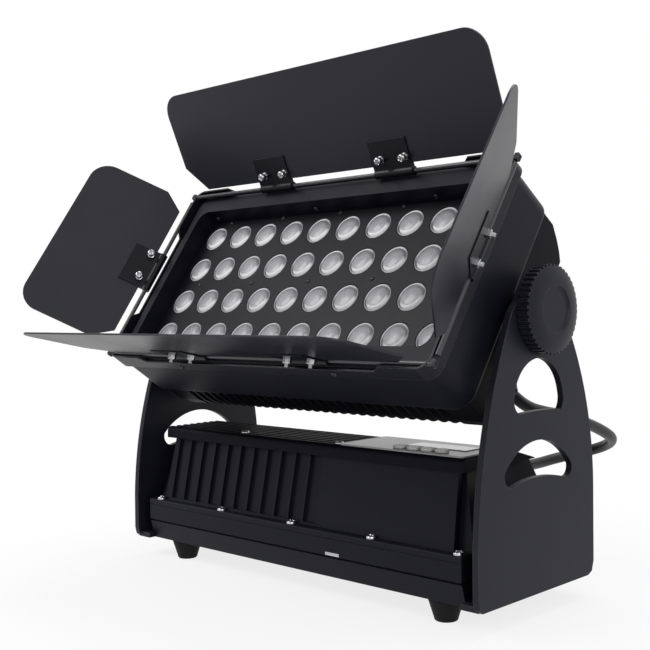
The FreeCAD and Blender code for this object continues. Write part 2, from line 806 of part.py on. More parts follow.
def makeGland(label):
    body = newBody(label)
    profile = newSketch(body, "GlandProfile", "XZ_Plane")
    addOutline(profile, [
        (0, 0), (s.gland_radius, 0), (s.gland_radius, s.gland_flange),
        (s.gland_nut_radius, s.gland_flange + s.overrun), (s.cable_radius, s.gland_length),
        (0, s.gland_length),
    ])
    addRevolution(body, profile, "Gland", "V_Axis")
    return body


def makeGlands():
    base = makeGland("base_gland")
    place = turned(panHalfWidth - s.base_gland_end_inset, rearWallAt(s.connector_height),
                   s.connector_height, (1, 0, 0), rearWallLean - quarterTurn)
    base.setExpression("Placement", place)
    head = makeGland("head_gland")
    across = housingInnerHalfWidth - s.head_gland_side_inset
    placeOnHead(head, turned(across, s.sink_back, -s.head_gland_drop, (1, 0, 0), -quarterTurn))
    return [base, head]


def makeArms():
    right = newBody("side_arm_right")
    side = newSketch(right, "ArmSide", "YZ_Plane", armInnerFace)
    addShareOutline(side, arm_outline_shares, arm_outline_rise_shares)
    addPad(right, side, "Arm", s.arm_thickness)
    foot = newSketch(right, "ArmFoot", "YZ_Plane", panHalfWidth)
    addOutline(foot, [
        (-s.arm_flange_front, 0), (s.arm_flange_back, 0), (s.arm_flange_back, s.arm_flange_height),
        (s.arm_foot_half_depth, s.arm_flange_height), (s.arm_foot_half_depth, s.arm_foot_height),
        (-s.arm_foot_half_depth, s.arm_foot_height), (-s.arm_foot_half_depth, s.arm_flange_height),
        (-s.arm_flange_front, s.arm_flange_height),
    ])
    addPad(right, foot, "Foot", armInnerFace - panHalfWidth + s.arm_thickness / 2)
    holes = newSketch(right, "ArmHoles", "YZ_Plane", armInnerFace)
    addShareOutline(holes, upper_hole_shares, upper_hole_rise_shares)
    addShareOutline(holes, lower_hole_shares, lower_hole_rise_shares)
    addCircle(holes, s.pivot_back, pivotHeight, s.stud_radius + s.running_gap)
    addPocket(right, holes, "Openings")
    return [right, mirroredCopy(right, "side_arm_left")]


def makeKnobs():
    right = newBody("knob_right")
    profile = newSketch(right, "KnobProfile", "XZ_Plane")
    rimStart, rimEnd = s.knob_boss, s.knob_boss + s.knob_rim
    face = rimEnd + s.knob_dome
    bore = s.stud_radius + s.running_gap
    dishRim = s.knob_dish_radius + s.knob_dish_slope
    dishFloor = face - s.knob_dish_depth
    addOutline(profile, [
        (s.stud_grip, 0), (dishFloor, 0), (dishFloor, s.knob_dish_radius), (face, dishRim),
        (rimEnd, s.knob_radius), (rimStart, s.knob_radius), (rimStart, s.knob_boss_radius),
        (0, s.knob_boss_radius), (0, bore), (s.stud_grip, bore),
    ], {3: riseRadius((face, dishRim), (rimEnd, s.knob_radius), s.knob_dome / 4)})
    addRevolution(right, profile, "Knob", "H_Axis")
    notch = newSketch(right, "Notch", "YZ_Plane", rimStart - s.overrun)
    low, high = s.knob_radius - s.knob_notch_depth, s.knob_radius + s.overrun
    half = s.knob_notch_width / 2
    addOutline(notch, [(-half / 2, low), (half / 2, low), (half * 2, high), (-half * 2, high)])
    cut = addPocket(right, notch, "NotchCut", s.knob_rim + s.knob_dome + s.overrun, forward=True)
    grip = right.newObject("PartDesign::PolarPattern", "Grip")
    grip.Originals = [cut]
    grip.Axis = (originPart(right, "X_Axis"), [""])
    bind(grip, "Occurrences", s.knob_notch_count)
    right.Tip = grip
    placeAt(right, armOuterFace + s.loose_gap, s.pivot_back, pivotHeight)

    stud = newBody("pivot_stud_right")
    section = newSketch(stud, "StudSection", "YZ_Plane", armInnerFace - s.stud_root)
    addCircle(section, 0, 0, s.stud_radius)
    addPad(stud, section, "Stud", s.stud_root + s.arm_thickness + s.stud_grip)
    placeAt(stud, 0, s.pivot_back, pivotHeight)
    return [right, mirroredCopy(right, "knob_left"), stud, mirroredCopy(stud, "pivot_stud_left")]


# Head pieces, drawn in the lens face's frame with the front towards minus Y
def makeHeadHousing():
    body = newBody("head_housing")
    outer = newSketch(body, "HousingOutline", "XZ_Plane", -s.head_back)
    addRoundedRectangle(outer, headHalfWidth, headHalfHeight, s.head_corner)
    slab = addPad(body, outer, "Shell", s.head_front + s.head_back)
    addFillet(body, slab, "BackEdge", s.head_back_round, lambda edge: liesAt(edge, "y", s.head_back))
    inner = newSketch(body, "HousingInside", "XZ_Plane")
    addRoundedRectangle(inner, housingInnerHalfWidth, housingInnerHalfHeight,
                        s.head_corner - s.head_wall)
    addPocket(body, inner, "Inside")
    placeOnHead(body)
    return [body]


def makeBezel():
    body = newBody("front_bezel")
    rim = newSketch(body, "RimOutline", "XZ_Plane", s.head_front)
    addRoundedRectangle(rim, headHalfWidth, headHalfHeight, s.head_corner)
    slab = addPad(body, rim, "Rim", s.bezel_front - s.head_front)
    addFillet(body, slab, "RimEdge", s.bezel_round, lambda edge: liesAt(edge, "y", -s.bezel_front))
    collar = newSketch(body, "CollarOutline", "XZ_Plane")
    addRoundedRectangle(collar, openingHalfWidth + s.collar_wall,
                        openingHalfHeight + s.collar_wall, s.opening_corner + s.collar_wall)
    addPad(body, collar, "Collar", s.head_front)
    opening = newSketch(body, "OpeningOutline", "XZ_Plane")
    addRoundedRectangle(opening, openingHalfWidth, openingHalfHeight, s.opening_corner)
    addPocket(body, opening, "Opening")
    placeOnHead(body)
    return [body]


def makeLensPlate():
    body = newBody("lens_plate")
    face = newSketch(body, "PlateFace", "XZ_Plane")
    addRoundedRectangle(face, housingInnerHalfWidth - s.loose_gap, housingInnerHalfHeight - s.loose_gap,
                        s.head_corner - s.head_wall)
    for column in range(int(driving["lens_columns"])):
        for row in range(int(driving["lens_rows"])):
            across = s.lens_pitch_wide * column - lensGridHalfWidth
            along = s.lens_pitch_high * row - lensGridHalfHeight
            addCircle(face, across, along, s.lens_radius + s.lens_hole_gap)
    addPad(body, face, "Plate", s.lens_plate_thickness, backward=True)
    placeOnHead(body)
    return [body]


def gridPlace(thing):
    # moves the first lens to the grid's lower left corner
    placeOnHead(thing, turned(-lensGridHalfWidth, 0, -lensGridHalfHeight, (1, 0, 0), 0))


def makeLenses():
    lens = newBody("lenses")
    profile = newSketch(lens, "LensProfile", "XY_Plane")
    addOutline(profile, [(0, s.lens_recess), (s.lens_radius, s.lens_recess),
                         (s.lens_foot_radius, lensBack), (0, lensBack)])
    cone = addRevolution(lens, profile, "Lens", "V_Axis")
    columns = ("X_Axis", s.lens_pitch_wide, s.lens_columns)
    rows = ("Z_Axis", s.lens_pitch_high, s.lens_rows)
    addGrid(lens, "LensGrid", [cone], columns, rows)
    gridPlace(lens)

    led = newBody("led_chips")
    square = newSketch(led, "ChipSquare", "XZ_Plane", -s.led_board_front)
    half = s.led_half_side
    addRectangle(square, -half, half, -half, half)
    chip = addPad(led, square, "Chip", s.led_height)
    addGrid(led, "ChipGrid", [chip], columns, rows)
    gridPlace(led)

    board = newBody("led_board")
    plan = newSketch(board, "BoardFace", "XZ_Plane", -s.led_board_front)
    wide, high = lensGridHalfWidth + s.led_board_margin, lensGridHalfHeight + s.led_board_margin
    addRectangle(plan, -wide, wide, -high, high)
    addPad(board, plan, "Board", s.led_board_thickness, backward=True)
    placeOnHead(board)
    return [lens, led, board]


def sinkProfile(start):
    # side view of the fins, from the given depth to the back
    depth = s.sink_back - start
    upper = [(start + depth * back, sinkHalfHeight * up) for back, up in sink_upper_shares]
    lower = [(start + depth * back, -(sinkHalfHeight * down)) for back, down in sink_lower_shares]
    return [(start, -sinkHalfHeight)] + lower + upper[::-1] + [(start, sinkHalfHeight)]


def makeHeatSink():
    body = newBody("heat_sink")
    slab = newSketch(body, "SlabFace", "XZ_Plane", -sinkFront)
    addRoundedRectangle(slab, housingInnerHalfWidth - s.loose_gap,
                        housingInnerHalfHeight - s.loose_gap, s.head_corner - s.head_wall)
    addPad(body, slab, "Slab", s.sink_slab, backward=True)
    start = sinkFinRoot - s.overrun
    firstFin = -(sinkFinPitch * (s.sink_fin_count - 1) / 2) - s.sink_fin_thickness / 2
    fin = newSketch(body, "FinSide", "YZ_Plane", firstFin)
    addOutline(fin, sinkProfile(start))
    blade = addPad(body, fin, "Fin", s.sink_fin_thickness)
    addRow(body, "Fins", [blade], "X_Axis", sinkFinPitch, s.sink_fin_count)
    cheek = newSketch(body, "CheekSide", "YZ_Plane", sinkCheekInner)
    addOutline(cheek, sinkProfile(start))
    cheekWidth = housingInnerHalfWidth - s.loose_gap - sinkCheekInner
    block = addPad(body, cheek, "Cheek", cheekWidth)
    boss = newSketch(body, "PivotBoss", "YZ_Plane", housingInnerHalfWidth - s.overrun)
    addCircle(boss, s.face_reach, s.face_drop, s.pivot_boss_radius)
    bossLength = armInnerFace - s.loose_gap - housingInnerHalfWidth + s.overrun
    pivot = addPad(body, boss, "Boss", bossLength)
    addMirror(body, "BothCheeks", [block, pivot], "YZ_Plane")
    trim = newSketch(body, "InsideTheHousing", "XZ_Plane", -(s.head_back + s.loose_gap))
    addRectangle(trim, -headHalfWidth, headHalfWidth, -headHalfHeight, headHalfHeight)
    addRoundedRectangle(trim, housingInnerHalfWidth - s.loose_gap, housingInnerHalfHeight - s.loose_gap,
                        s.head_corner - s.head_wall)
    addPocket(body, trim, "RoundedCorners", s.head_back + s.loose_gap, forward=True)
    bores = newSketch(body, "StudBores", "YZ_Plane")
    addCircle(bores, s.face_reach, s.face_drop, s.stud_radius + s.running_gap)
    root = armInnerFace - s.stud_root - s.loose_gap
    bores.setExpression(".AttachmentOffset.Base.z", root.text)
    hole = addPocket(body, bores, "StudBore", s.stud_root + s.overrun, forward=True)
    addMirror(body, "BothBores", [hole], "YZ_Plane")
    placeOnHead(body)
    return [body]


def makeDoorFrame():
    body = newBody("door_frame")
    ring = newSketch(body, "RingFace", "XZ_Plane", -s.frame_tab_back)
    addRoundedRectangle(ring, frameHalfWidth, frameHalfHeight, s.frame_corner)
    addRoundedRectangle(ring, frameHalfWidth - s.frame_sheet, frameHalfHeight - s.frame_sheet,
                        s.frame_corner - s.frame_sheet)
    addPad(body, ring, "Ring", s.frame_front + s.frame_tab_back)
    views = {
        "XY_Plane": (s.frame_cut_side_inset, s.frame_cut_side_inset, headHalfWidth, frameHalfWidth),
        "YZ_Plane": (s.frame_cut_end_inset, s.frame_tab_end_inset, headHalfHeight, frameHalfHeight),
    }
    for role, (cutInset, tabInset, head, outer) in views.items():
        cutHalf, tabHalf = head - cutInset, head - tabInset
        trim = newSketch(body, "Trim" + role[:2], role)
        front, back = -(s.frame_front + s.overrun), s.frame_tab_back + s.overrun
        reach = outer + s.overrun
        shapes = [[(-cutHalf, front), (cutHalf, front), (cutHalf - s.frame_tab_slope, -s.frame_cut_front),
                   (-cutHalf + s.frame_tab_slope, -s.frame_cut_front)]]
        for sign in (1, -1):
            shapes.append([(tabHalf * sign, back), (reach * sign, back), (reach * sign, -s.frame_back),
                           ((tabHalf + s.frame_tab_slope) * sign, -s.frame_back)])
        for shape in shapes:
            flipped = [(back, across) for across, back in shape]
            addOutline(trim, shape if role == "XY_Plane" else flipped)
        addPocket(body, trim, "Trimmed" + role[:2])
    rods = newSketch(body, "RodHoles", "YZ_Plane")
    for sign in (1, -1):
        addCircle(rods, -s.rod_front, rodHalfHeight * sign, s.rod_radius + s.running_gap)
    addPocket(body, rods, "RodHoleCuts")
    placeOnHead(body)
    return [body]


def makeRods():
    made = []
    blockFace = frameHalfWidth
    for label, sign in (("rod_top", 1), ("rod_bottom", -1)):
        body = newBody(label)
        section = newSketch(body, "RodSection", "YZ_Plane")
        addCircle(section, 0, 0, s.rod_radius)
        addPad(body, section, "Rod", blockFace * 2, symmetric=True)
        placeOnHead(body, turned(0, -s.rod_front, rodHalfHeight * sign, (1, 0, 0), 0))
        made.append(body)
    for label, sign in (("rod_left", -1), ("rod_right", 1)):
        body = newBody(label)
        section = newSketch(body, "RodSection", "XY_Plane")
        addCircle(section, 0, 0, s.rod_radius)
        addPad(body, section, "Rod", rodBlockBottom * 2, symmetric=True)
        placeOnHead(body, turned(rodHalfWidth * sign, -s.rod_front, 0, (1, 0, 0), 0))
        made.append(body)
    corners = newBody("rod_corners")
    plan = newSketch(corners, "BlockPlan", "XY_Plane", -(rodBlockBottom + s.rod_block_high))
    outer = rodHalfWidth + s.rod_block_out
    addRectangle(plan, -outer, -blockFace, -s.rod_front - s.rod_block_half,
                 -s.rod_front + s.rod_block_half)
    block = addPad(corners, plan, "Block", s.rod_block_high)
    addGrid(corners, "FourBlocks", [block], ("X_Axis", blockFace + outer, 2),
            ("Z_Axis", rodBlockBottom * 2 + s.rod_block_high, 2))
    made.append(corners)
    placeOnHead(corners)
    return made


def makeDoor(label, half, hingeHalf, taper, *turns):
    body = newBody(label)
    face = newSketch(body, "DoorFace", "XZ_Plane", -s.door_sheet / 2)
    tip, corner = s.door_length, s.door_corner
    addOutline(face, [
        (-hingeHalf, s.door_start), (hingeHalf, s.door_start), (half, s.door_start + taper),
        (half, tip - corner), (half - corner, tip), (-half + corner, tip), (-half, tip - corner),
        (-half, s.door_start + taper),
    ], {3: corner, 5: corner})
    addPad(body, face, "Door", s.door_sheet)
    placeOnHead(body, *turns)
    return body


def makeClips(label, offsets, *turns):
    # folded straps that turn round the rod and hold the sheet between two leaves
    body = newBody(label)
    first = offsets[0]
    start = sized(first) - s.clip_half_length
    knuckle = newSketch(body, "Knuckle", "YZ_Plane", start)
    addCircle(knuckle, 0, 0, s.clip_knuckle_radius)
    ring = addPad(body, knuckle, "KnuckleRing", s.clip_half_length * 2)
    leaves = newSketch(body, "Leaves", "YZ_Plane", start)
    inner, outer = s.door_sheet / 2, s.door_sheet / 2 + s.clip_leaf
    low = s.clip_knuckle_radius - s.clip_overlap
    for sign in (1, -1):
        addRectangle(leaves, inner * sign, outer * sign, low, s.clip_reach)
    pair = addPad(body, leaves, "LeafPair", s.clip_half_length * 2)
    hole = newSketch(body, "RodHole", "YZ_Plane", start)
    addCircle(hole, 0, 0, s.rod_radius + s.running_gap)
    bore = addPocket(body, hole, "RodBore", s.clip_half_length * 2, forward=True)
    if len(offsets) > 1:
        addMirror(body, "SecondClip", [ring, pair, bore], "YZ_Plane")
    placeOnHead(body, *turns)
    return body


def makeDoors():
    made = []
    upright = (0, 0, 1)
    sides = {
        "top": (turned(0, -s.rod_front, rodHalfHeight, (1, 0, 0), s.door_top_angle),),
        "bottom": (turned(0, -s.rod_front, -rodHalfHeight, (1, 0, 0),
                          quarterTurn * 2 - s.door_bottom_angle),),
        "left": (turned(-rodHalfWidth, -s.rod_front, 0, upright, s.door_left_angle),
                 turned(0, 0, 0, (0, 1, 0), -quarterTurn)),
        "right": (turned(rodHalfWidth, -s.rod_front, 0, upright, -s.door_right_angle),
                  turned(0, 0, 0, (0, 1, 0), quarterTurn)),
    }
    for side, turns in sides.items():
        wide = side in ("top", "bottom")
        if wide:
            shape = (headHalfWidth + s.door_side_overhang, headHalfWidth - s.door_hinge_side_inset,
                     s.door_wide_taper)
            offsets = (-s.clip_from_middle, s.clip_from_middle)
        else:
            shape = (headHalfHeight - s.door_end_inset, headHalfHeight - s.door_hinge_end_inset,
                     s.door_high_taper)
            offsets = (0,)
        made.append(makeDoor("door_" + side, *shape, *turns))
        made.append(makeClips("door_clips_" + side, offsets, *turns))
    return made


# The cable between head and base: straight runs joined by tangent arcs
def cableEnd(gland):
    # the middle of the cable's end, just clear of the gland's tip
    return gland.Placement.multVec(FreeCAD.Vector(0, 0, driving["gland_length"] + driving["cable_end_gap"]))


def makeCable(headGland, baseGland):
    doc.recompute()
    route = [cableEnd(headGland)] + [FreeCAD.Vector(*point) for point in cable_route]
    route.append(cableEnd(baseGland))
    edges = []
    last = route[0]
    radii = []
    for before, corner, after in zip(route, route[1:], route[2:]):
        inward, outward = corner - before, after - corner
        turn = inward.getAngle(outward)
        reach = 0.45 * min(inward.Length, outward.Length)
        radii.append(reach / math.tan(turn / 2))
        start = corner - inward.normalize() * reach
        end = corner + outward.normalize() * reach
        middle = (start + end) / 2
        bend = (middle - corner).normalize()
        depth = radii[-1] / math.cos(turn / 2) - radii[-1]
        edges.append(Part.LineSegment(last, start).toShape())
        edges.append(Part.Arc(start, corner + bend * depth, end).toShape())
        last = end
    edges.append(Part.LineSegment(last, route[-1]).toShape())
    path = Part.Wire(edges)
    radius = driving["cable_radius"]
    section = Part.Wire(Part.Circle(route[0], route[1] - route[0], radius).toShape())
    cable = doc.addObject("Part::Feature", "interconnect_cable")
    cable.Label = "interconnect_cable"
    cable.Shape = path.makePipeShell([section], True, False)
    swept = math.pi * radius ** 2 * path.Length
    print("cable length %.1f mm" % path.Length)
    print("cable radii " + ", ".join("%.0f" % value for value in radii))
    print("cable volume over section times length %.4f" % (cable.Shape.Volume / swept))
    return [cable]


buttonNames = ("button_mode", "button_down", "button_up", "button_enter")
connectorNames = ("power_input", "power_output", "data_input", "data_output")
pieces = makePan() + makeFeet() + makeHousing() + makeLid() + makeControls() + makeSupply()
for number, label in enumerate(buttonNames):
    pieces += makeButton(number, label)
for number, label in enumerate(connectorNames):
    pieces += makeConnector(number, label)
glands = makeGlands()
pieces += glands + makeArms() + makeKnobs()
pieces += makeHeadHousing() + makeBezel() + makeLensPlate() + makeLenses() + makeHeatSink()
pieces += makeDoorFrame() + makeRods() + makeDoors()
pieces += makeCable(glands[1], glands[0])
doc.recompute()

for thing in doc.Objects:
    if "Invalid" in thing.State or "Error" in thing.State:
        raise RuntimeError("%s did not build: %s" % (thing.Label, thing.getStatusString()))
for piece in pieces:
    if piece.Shape.isNull() or not piece.Shape.isValid() or not piece.Shape.Solids:
        raise RuntimeError("%s has no valid solid" % piece.Label)

os.makedirs("parts", exist_ok=True)
for piece in pieces:
    piece.Shape.exportStep("parts/%s.step" % piece.Label)
print("%d pieces written" % len(pieces))
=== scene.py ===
import json
import math

import bmesh
import bpy
from mathutils import Matrix, Vector


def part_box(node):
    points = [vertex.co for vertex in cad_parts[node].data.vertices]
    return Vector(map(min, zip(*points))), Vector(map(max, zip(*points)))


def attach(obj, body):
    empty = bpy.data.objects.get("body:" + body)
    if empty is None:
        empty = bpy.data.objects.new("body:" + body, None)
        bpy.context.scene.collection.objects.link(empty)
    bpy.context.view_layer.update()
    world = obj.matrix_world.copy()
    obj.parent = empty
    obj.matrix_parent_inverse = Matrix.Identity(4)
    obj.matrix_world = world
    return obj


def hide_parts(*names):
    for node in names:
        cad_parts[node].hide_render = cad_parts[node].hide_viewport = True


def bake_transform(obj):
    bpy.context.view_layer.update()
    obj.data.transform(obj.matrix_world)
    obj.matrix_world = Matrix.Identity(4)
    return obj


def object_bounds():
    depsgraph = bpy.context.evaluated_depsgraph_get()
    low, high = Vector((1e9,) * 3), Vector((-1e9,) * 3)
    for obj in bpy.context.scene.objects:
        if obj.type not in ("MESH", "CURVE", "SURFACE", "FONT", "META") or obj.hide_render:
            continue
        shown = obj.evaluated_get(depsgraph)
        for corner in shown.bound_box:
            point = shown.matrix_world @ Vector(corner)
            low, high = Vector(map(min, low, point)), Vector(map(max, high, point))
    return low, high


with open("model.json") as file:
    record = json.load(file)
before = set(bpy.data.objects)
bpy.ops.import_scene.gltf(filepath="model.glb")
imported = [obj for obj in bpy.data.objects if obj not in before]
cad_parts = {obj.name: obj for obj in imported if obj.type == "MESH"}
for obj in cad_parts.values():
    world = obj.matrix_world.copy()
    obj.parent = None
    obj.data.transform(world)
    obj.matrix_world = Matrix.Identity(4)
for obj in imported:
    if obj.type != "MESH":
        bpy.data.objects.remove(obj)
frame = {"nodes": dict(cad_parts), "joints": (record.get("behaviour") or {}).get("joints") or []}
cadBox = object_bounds()
cadNodes = frame["nodes"]
joints = {joint["name"]: joint for joint in frame["joints"]}
scene = bpy.context.scene
print("frame loaded:", len(cadNodes), "nodes")

# Lengths are metres. Angles are degrees, apart from a screw's spin, which is in radians.
# The lamp's head is described in its lens face's own frame: X across, -Y towards the beam, Z up the face,
# with the middle of the lens grid at the origin.
headPose = {"tilt": 34.94, "faceReach": 0.0532, "faceDrop": 0.00335}
headPlace = (Matrix.Translation(joints["head_tilt"]["pos_m"])
             @ Matrix.Rotation(math.radians(-headPose["tilt"]), 4, "X")
             @ Matrix.Translation((0, -headPose["faceReach"], -headPose["faceDrop"])))


# Mesh helpers
def circlePoints(radius, steps):
    # points evenly round a circle, from the X axis on
    angles = [2 * math.pi * step / steps for step in range(steps)]
    return [(radius * math.cos(angle), radius * math.sin(angle)) for angle in angles]


def joinRings(bm, rings):
    # quads between neighbouring rings of vertices, or triangles where a ring is a single point
    for lower, upper in zip(rings, rings[1:]):
        for step in range(max(len(lower), len(upper))):
            corners = [lower[step % len(lower)], lower[(step + 1) % len(lower)],
                       upper[(step + 1) % len(upper)], upper[step % len(upper)]]
            bm.faces.new(list(dict.fromkeys(corners)))


def addLathe(bm, profile, place, around=24):
    # turns (radius, height) points about the local Z axis
    rings = []
    for radius, height in profile:
        circle = circlePoints(radius, around if radius else 1)
        rings.append([bm.verts.new(place @ Vector((x, y, height))) for x, y in circle])
    joinRings(bm, rings)


def addPrism(bm, outline, low, high, place, bevel=0.0):
    # a plate with the outline (x, y) between two heights, its top edge drawn in by the bevel
    corners = [Vector(corner) for corner in outline]
    middle = sum(corners, Vector((0, 0))) / len(corners)
    levels = [(low, 0.0), (high - bevel, 0.0)] + ([(high, bevel)] if bevel else [])
    rings = []
    for height, inset in levels:
        spots = [corner + (middle - corner).normalized() * inset for corner in corners]
        rings.append([bm.verts.new(place @ Vector((spot.x, spot.y, height))) for spot in spots])
    joinRings(bm, rings)
    bm.faces.new(rings[0][::-1])
    bm.faces.new(rings[-1])


def facing(point, normal, spin=0.0):
    # a frame at the point whose Z axis looks along the normal
    turn = Vector(normal).to_track_quat("Z", "Y").to_matrix().to_4x4()
    return Matrix.Translation(point) @ turn @ Matrix.Rotation(spin, 4, "Z")


def makeObject(name, bm):
    mesh = bpy.data.meshes.new(name)
    bm.to_mesh(mesh)
    bm.free()
    made = bpy.data.objects.new(name, mesh)
    scene.collection.objects.link(made)
    return made


def makePiece(name, bm, material, body, replaced=(), smoothBelow=40.0):
    # a piece of the lamp that rides on a body, crisp at edges that turn by more than smoothBelow degrees
    bmesh.ops.recalc_face_normals(bm, faces=bm.faces)
    piece = makeObject(name, bm)
    mesh = piece.data
    # normals kept from a copied CAD mesh no longer fit its changed faces
    kept = mesh.attributes.get("custom_normal")
    if kept is not None:
        mesh.attributes.remove(kept)
    for polygon in mesh.polygons:
        polygon.use_smooth = True
    mesh.set_sharp_from_angle(angle=math.radians(smoothBelow))
    mesh.materials.append(material)
    if body is not None:
        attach(piece, body)
    if replaced:
        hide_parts(*replaced)
    return piece


# Camera
cameraSetup = {"place": (0.6700, -0.7109, 0.2289), "azimuth": 44.262, "elevation": 1.257, "roll": -1.074,
               "lens": 59.52, "sensor": 36.0, "nearest": 0.05}


def makeCamera():
    azimuth, elevation, roll = (math.radians(cameraSetup[key]) for key in ("azimuth", "elevation", "roll"))
    ahead = Vector((-math.sin(azimuth) * math.cos(elevation), math.cos(azimuth) * math.cos(elevation),
                    -math.sin(elevation)))
    right = Vector((math.cos(azimuth), math.sin(azimuth), 0))
    down = ahead.cross(right)
    rolledRight = right * math.cos(roll) - down * math.sin(roll)
    rolledDown = right * math.sin(roll) + down * math.cos(roll)
    data = bpy.data.cameras.new("camera")
    data.lens = cameraSetup["lens"]
    data.sensor_width = cameraSetup["sensor"]
    data.clip_start = cameraSetup["nearest"]
    camera = bpy.data.objects.new("camera", data)
    scene.collection.objects.link(camera)
    turn = Matrix((rolledRight, -rolledDown, -ahead)).transposed().to_4x4()
    camera.matrix_world = Matrix.Translation(cameraSetup["place"]) @ turn
    scene.camera = camera


makeCamera()
print("camera set")


# Node helpers
def setSocket(tree, socket, value):
    # a link where the value is another node's output, or else a constant
    if isinstance(value, bpy.types.NodeSocket):
        tree.links.new(value, socket)
    else:
        socket.default_value = value


def addNode(tree, kind, settings=None, **inputs):
    # i0, i1 and so on name an input by its number, and other keys by its label
    node = tree.nodes.new(kind)
    for key, value in (settings or {}).items():
        setattr(node, key, value)
    for key, value in inputs.items():
        label = int(key[1:]) if key[1:].isdigit() else key
        setSocket(tree, node.inputs[label], value)
    return node


def useGroup(tree, group, **inputs):
    return addNode(tree, "ShaderNodeGroup", {"node_tree": group}, **inputs)


def calculate(tree, operation, first, second):
    return addNode(tree, "ShaderNodeMath", {"operation": operation}, i0=first, i1=second).outputs[0]


def vectorMath(tree, operation, **inputs):
    return addNode(tree, "ShaderNodeVectorMath", {"operation": operation}, **inputs).outputs


def scaled(tree, vector, factor):
    return vectorMath(tree, "SCALE", i0=vector, Scale=factor)["Vector"]


def dotProduct(tree, first, second):
    return vectorMath(tree, "DOT_PRODUCT", i0=first, i1=second)["Value"]


def mixColour(tree, factor, first, second):
    # the Mix node keeps its colours in inputs 6 and 7 and in output 2
    return addNode(tree, "ShaderNodeMix", {"data_type": "RGBA"}, i0=factor, i6=first, i7=second).outputs[2]


def spread(tree, value, given, wanted):
    # maps the given range of a value onto the wanted one, and clamps it there
    return addNode(tree, "ShaderNodeMapRange", i0=value, i1=given[0], i2=given[1], i3=wanted[0],
                   i4=wanted[1]).outputs[0]


def objectPlace(tree):
    return addNode(tree, "ShaderNodeTexCoord").outputs["Object"]


def noise(tree, place, scale, detail):
    return addNode(tree, "ShaderNodeTexNoise", Vector=place, Scale=scale, Detail=detail).outputs[0]


def newGroup(name, inputs, outputs):
    group = bpy.data.node_groups.new(name, "ShaderNodeTree")
    kinds = {"value": "NodeSocketFloat", "colour": "NodeSocketColor", "vector": "NodeSocketVector"}
    for label, kind, default in inputs:
        made = group.interface.new_socket(label, in_out="INPUT", socket_type=kinds[kind])
        made.default_value = default
    for label, kind in outputs:
        group.interface.new_socket(label, in_out="OUTPUT", socket_type=kinds[kind])
    return group, group.nodes.new("NodeGroupInput"), group.nodes.new("NodeGroupOutput")


# Node groups shared by the finishes
powderLook = {"grainRange": (0.3, 0.72), "grainDetail": 3.0, "grainShare": 0.6, "cloudScale": 14.0,
              "cloudDetail": 4.0, "cloudRange": (0.3, 0.7), "roughChange": 0.03}


def makePowderCoat():
    # fine orange-peel grain, with slow cloudy changes of tone
    group, given, out = newGroup("powderCoat", [
        ("Colour", "colour", (0.03, 0.03, 0.034, 1)), ("Grain", "value", 900.0), ("Tone", "value", 0.12),
        ("Roughness", "value", 0.45)],
        [("Colour", "colour"), ("Roughness", "value"), ("Height", "value")])
    place = objectPlace(group)
    fine = noise(group, place, given.outputs["Grain"], powderLook["grainDetail"])
    cloudy = noise(group, place, powderLook["cloudScale"], powderLook["cloudDetail"])
    speckle = spread(group, fine, powderLook["grainRange"], (-1.0, 1.0))
    slow = spread(group, cloudy, powderLook["cloudRange"], (-1.0, 1.0))
    both = calculate(group, "ADD", calculate(group, "MULTIPLY", speckle, powderLook["grainShare"]), slow)
    change = calculate(group, "ADD", calculate(group, "MULTIPLY", both, given.outputs["Tone"]), 1.0)
    roughChange = calculate(group, "MULTIPLY", slow, powderLook["roughChange"])
    rough = calculate(group, "ADD", given.outputs["Roughness"], roughChange)
    group.links.new(scaled(group, given.outputs["Colour"], change), out.inputs["Colour"])
    group.links.new(rough, out.inputs["Roughness"])
    group.links.new(fine, out.inputs["Height"])
    return group


edgeLook = {"samples": 6, "bendRange": (0.97, 0.75), "patchScale": 180.0, "patchDetail": 2.0,
            "patchRange": (0.35, 0.6), "leastWearAndHighlight": 0.4}


def makeSoftEdge():
    # rounds sharp edges in the shading and marks them for wear and a painted edge highlight
    group, given, out = newGroup("softEdge", [("Radius", "value", 0.0006), ("Wear", "value", 0.5)],
                                 [("Normal", "vector"), ("Edge", "value")])
    rounded = addNode(group, "ShaderNodeBevel", {"samples": edgeLook["samples"]},
                      Radius=given.outputs["Radius"]).outputs[0]
    flat = addNode(group, "ShaderNodeNewGeometry").outputs["Normal"]
    patchy = noise(group, objectPlace(group), edgeLook["patchScale"], edgeLook["patchDetail"])
    sharp = spread(group, dotProduct(group, rounded, flat), edgeLook["bendRange"], (0.0, 1.0))
    patches = spread(group, patchy, edgeLook["patchRange"], (edgeLook["leastWearAndHighlight"], 1.0))
    wearAndEdgeHighlight = calculate(group, "MULTIPLY", sharp, patches)
    group.links.new(rounded, out.inputs["Normal"])
    group.links.new(calculate(group, "MULTIPLY", wearAndEdgeHighlight, given.outputs["Wear"]), out.inputs["Edge"])
    return group


dustLook = {"colour": (0.45, 0.44, 0.42, 1), "upRange": (0.2, 1.0), "patchScale": 45.0, "patchDetail": 5.0,
            "patchRange": (0.4, 0.7), "least": 0.3}


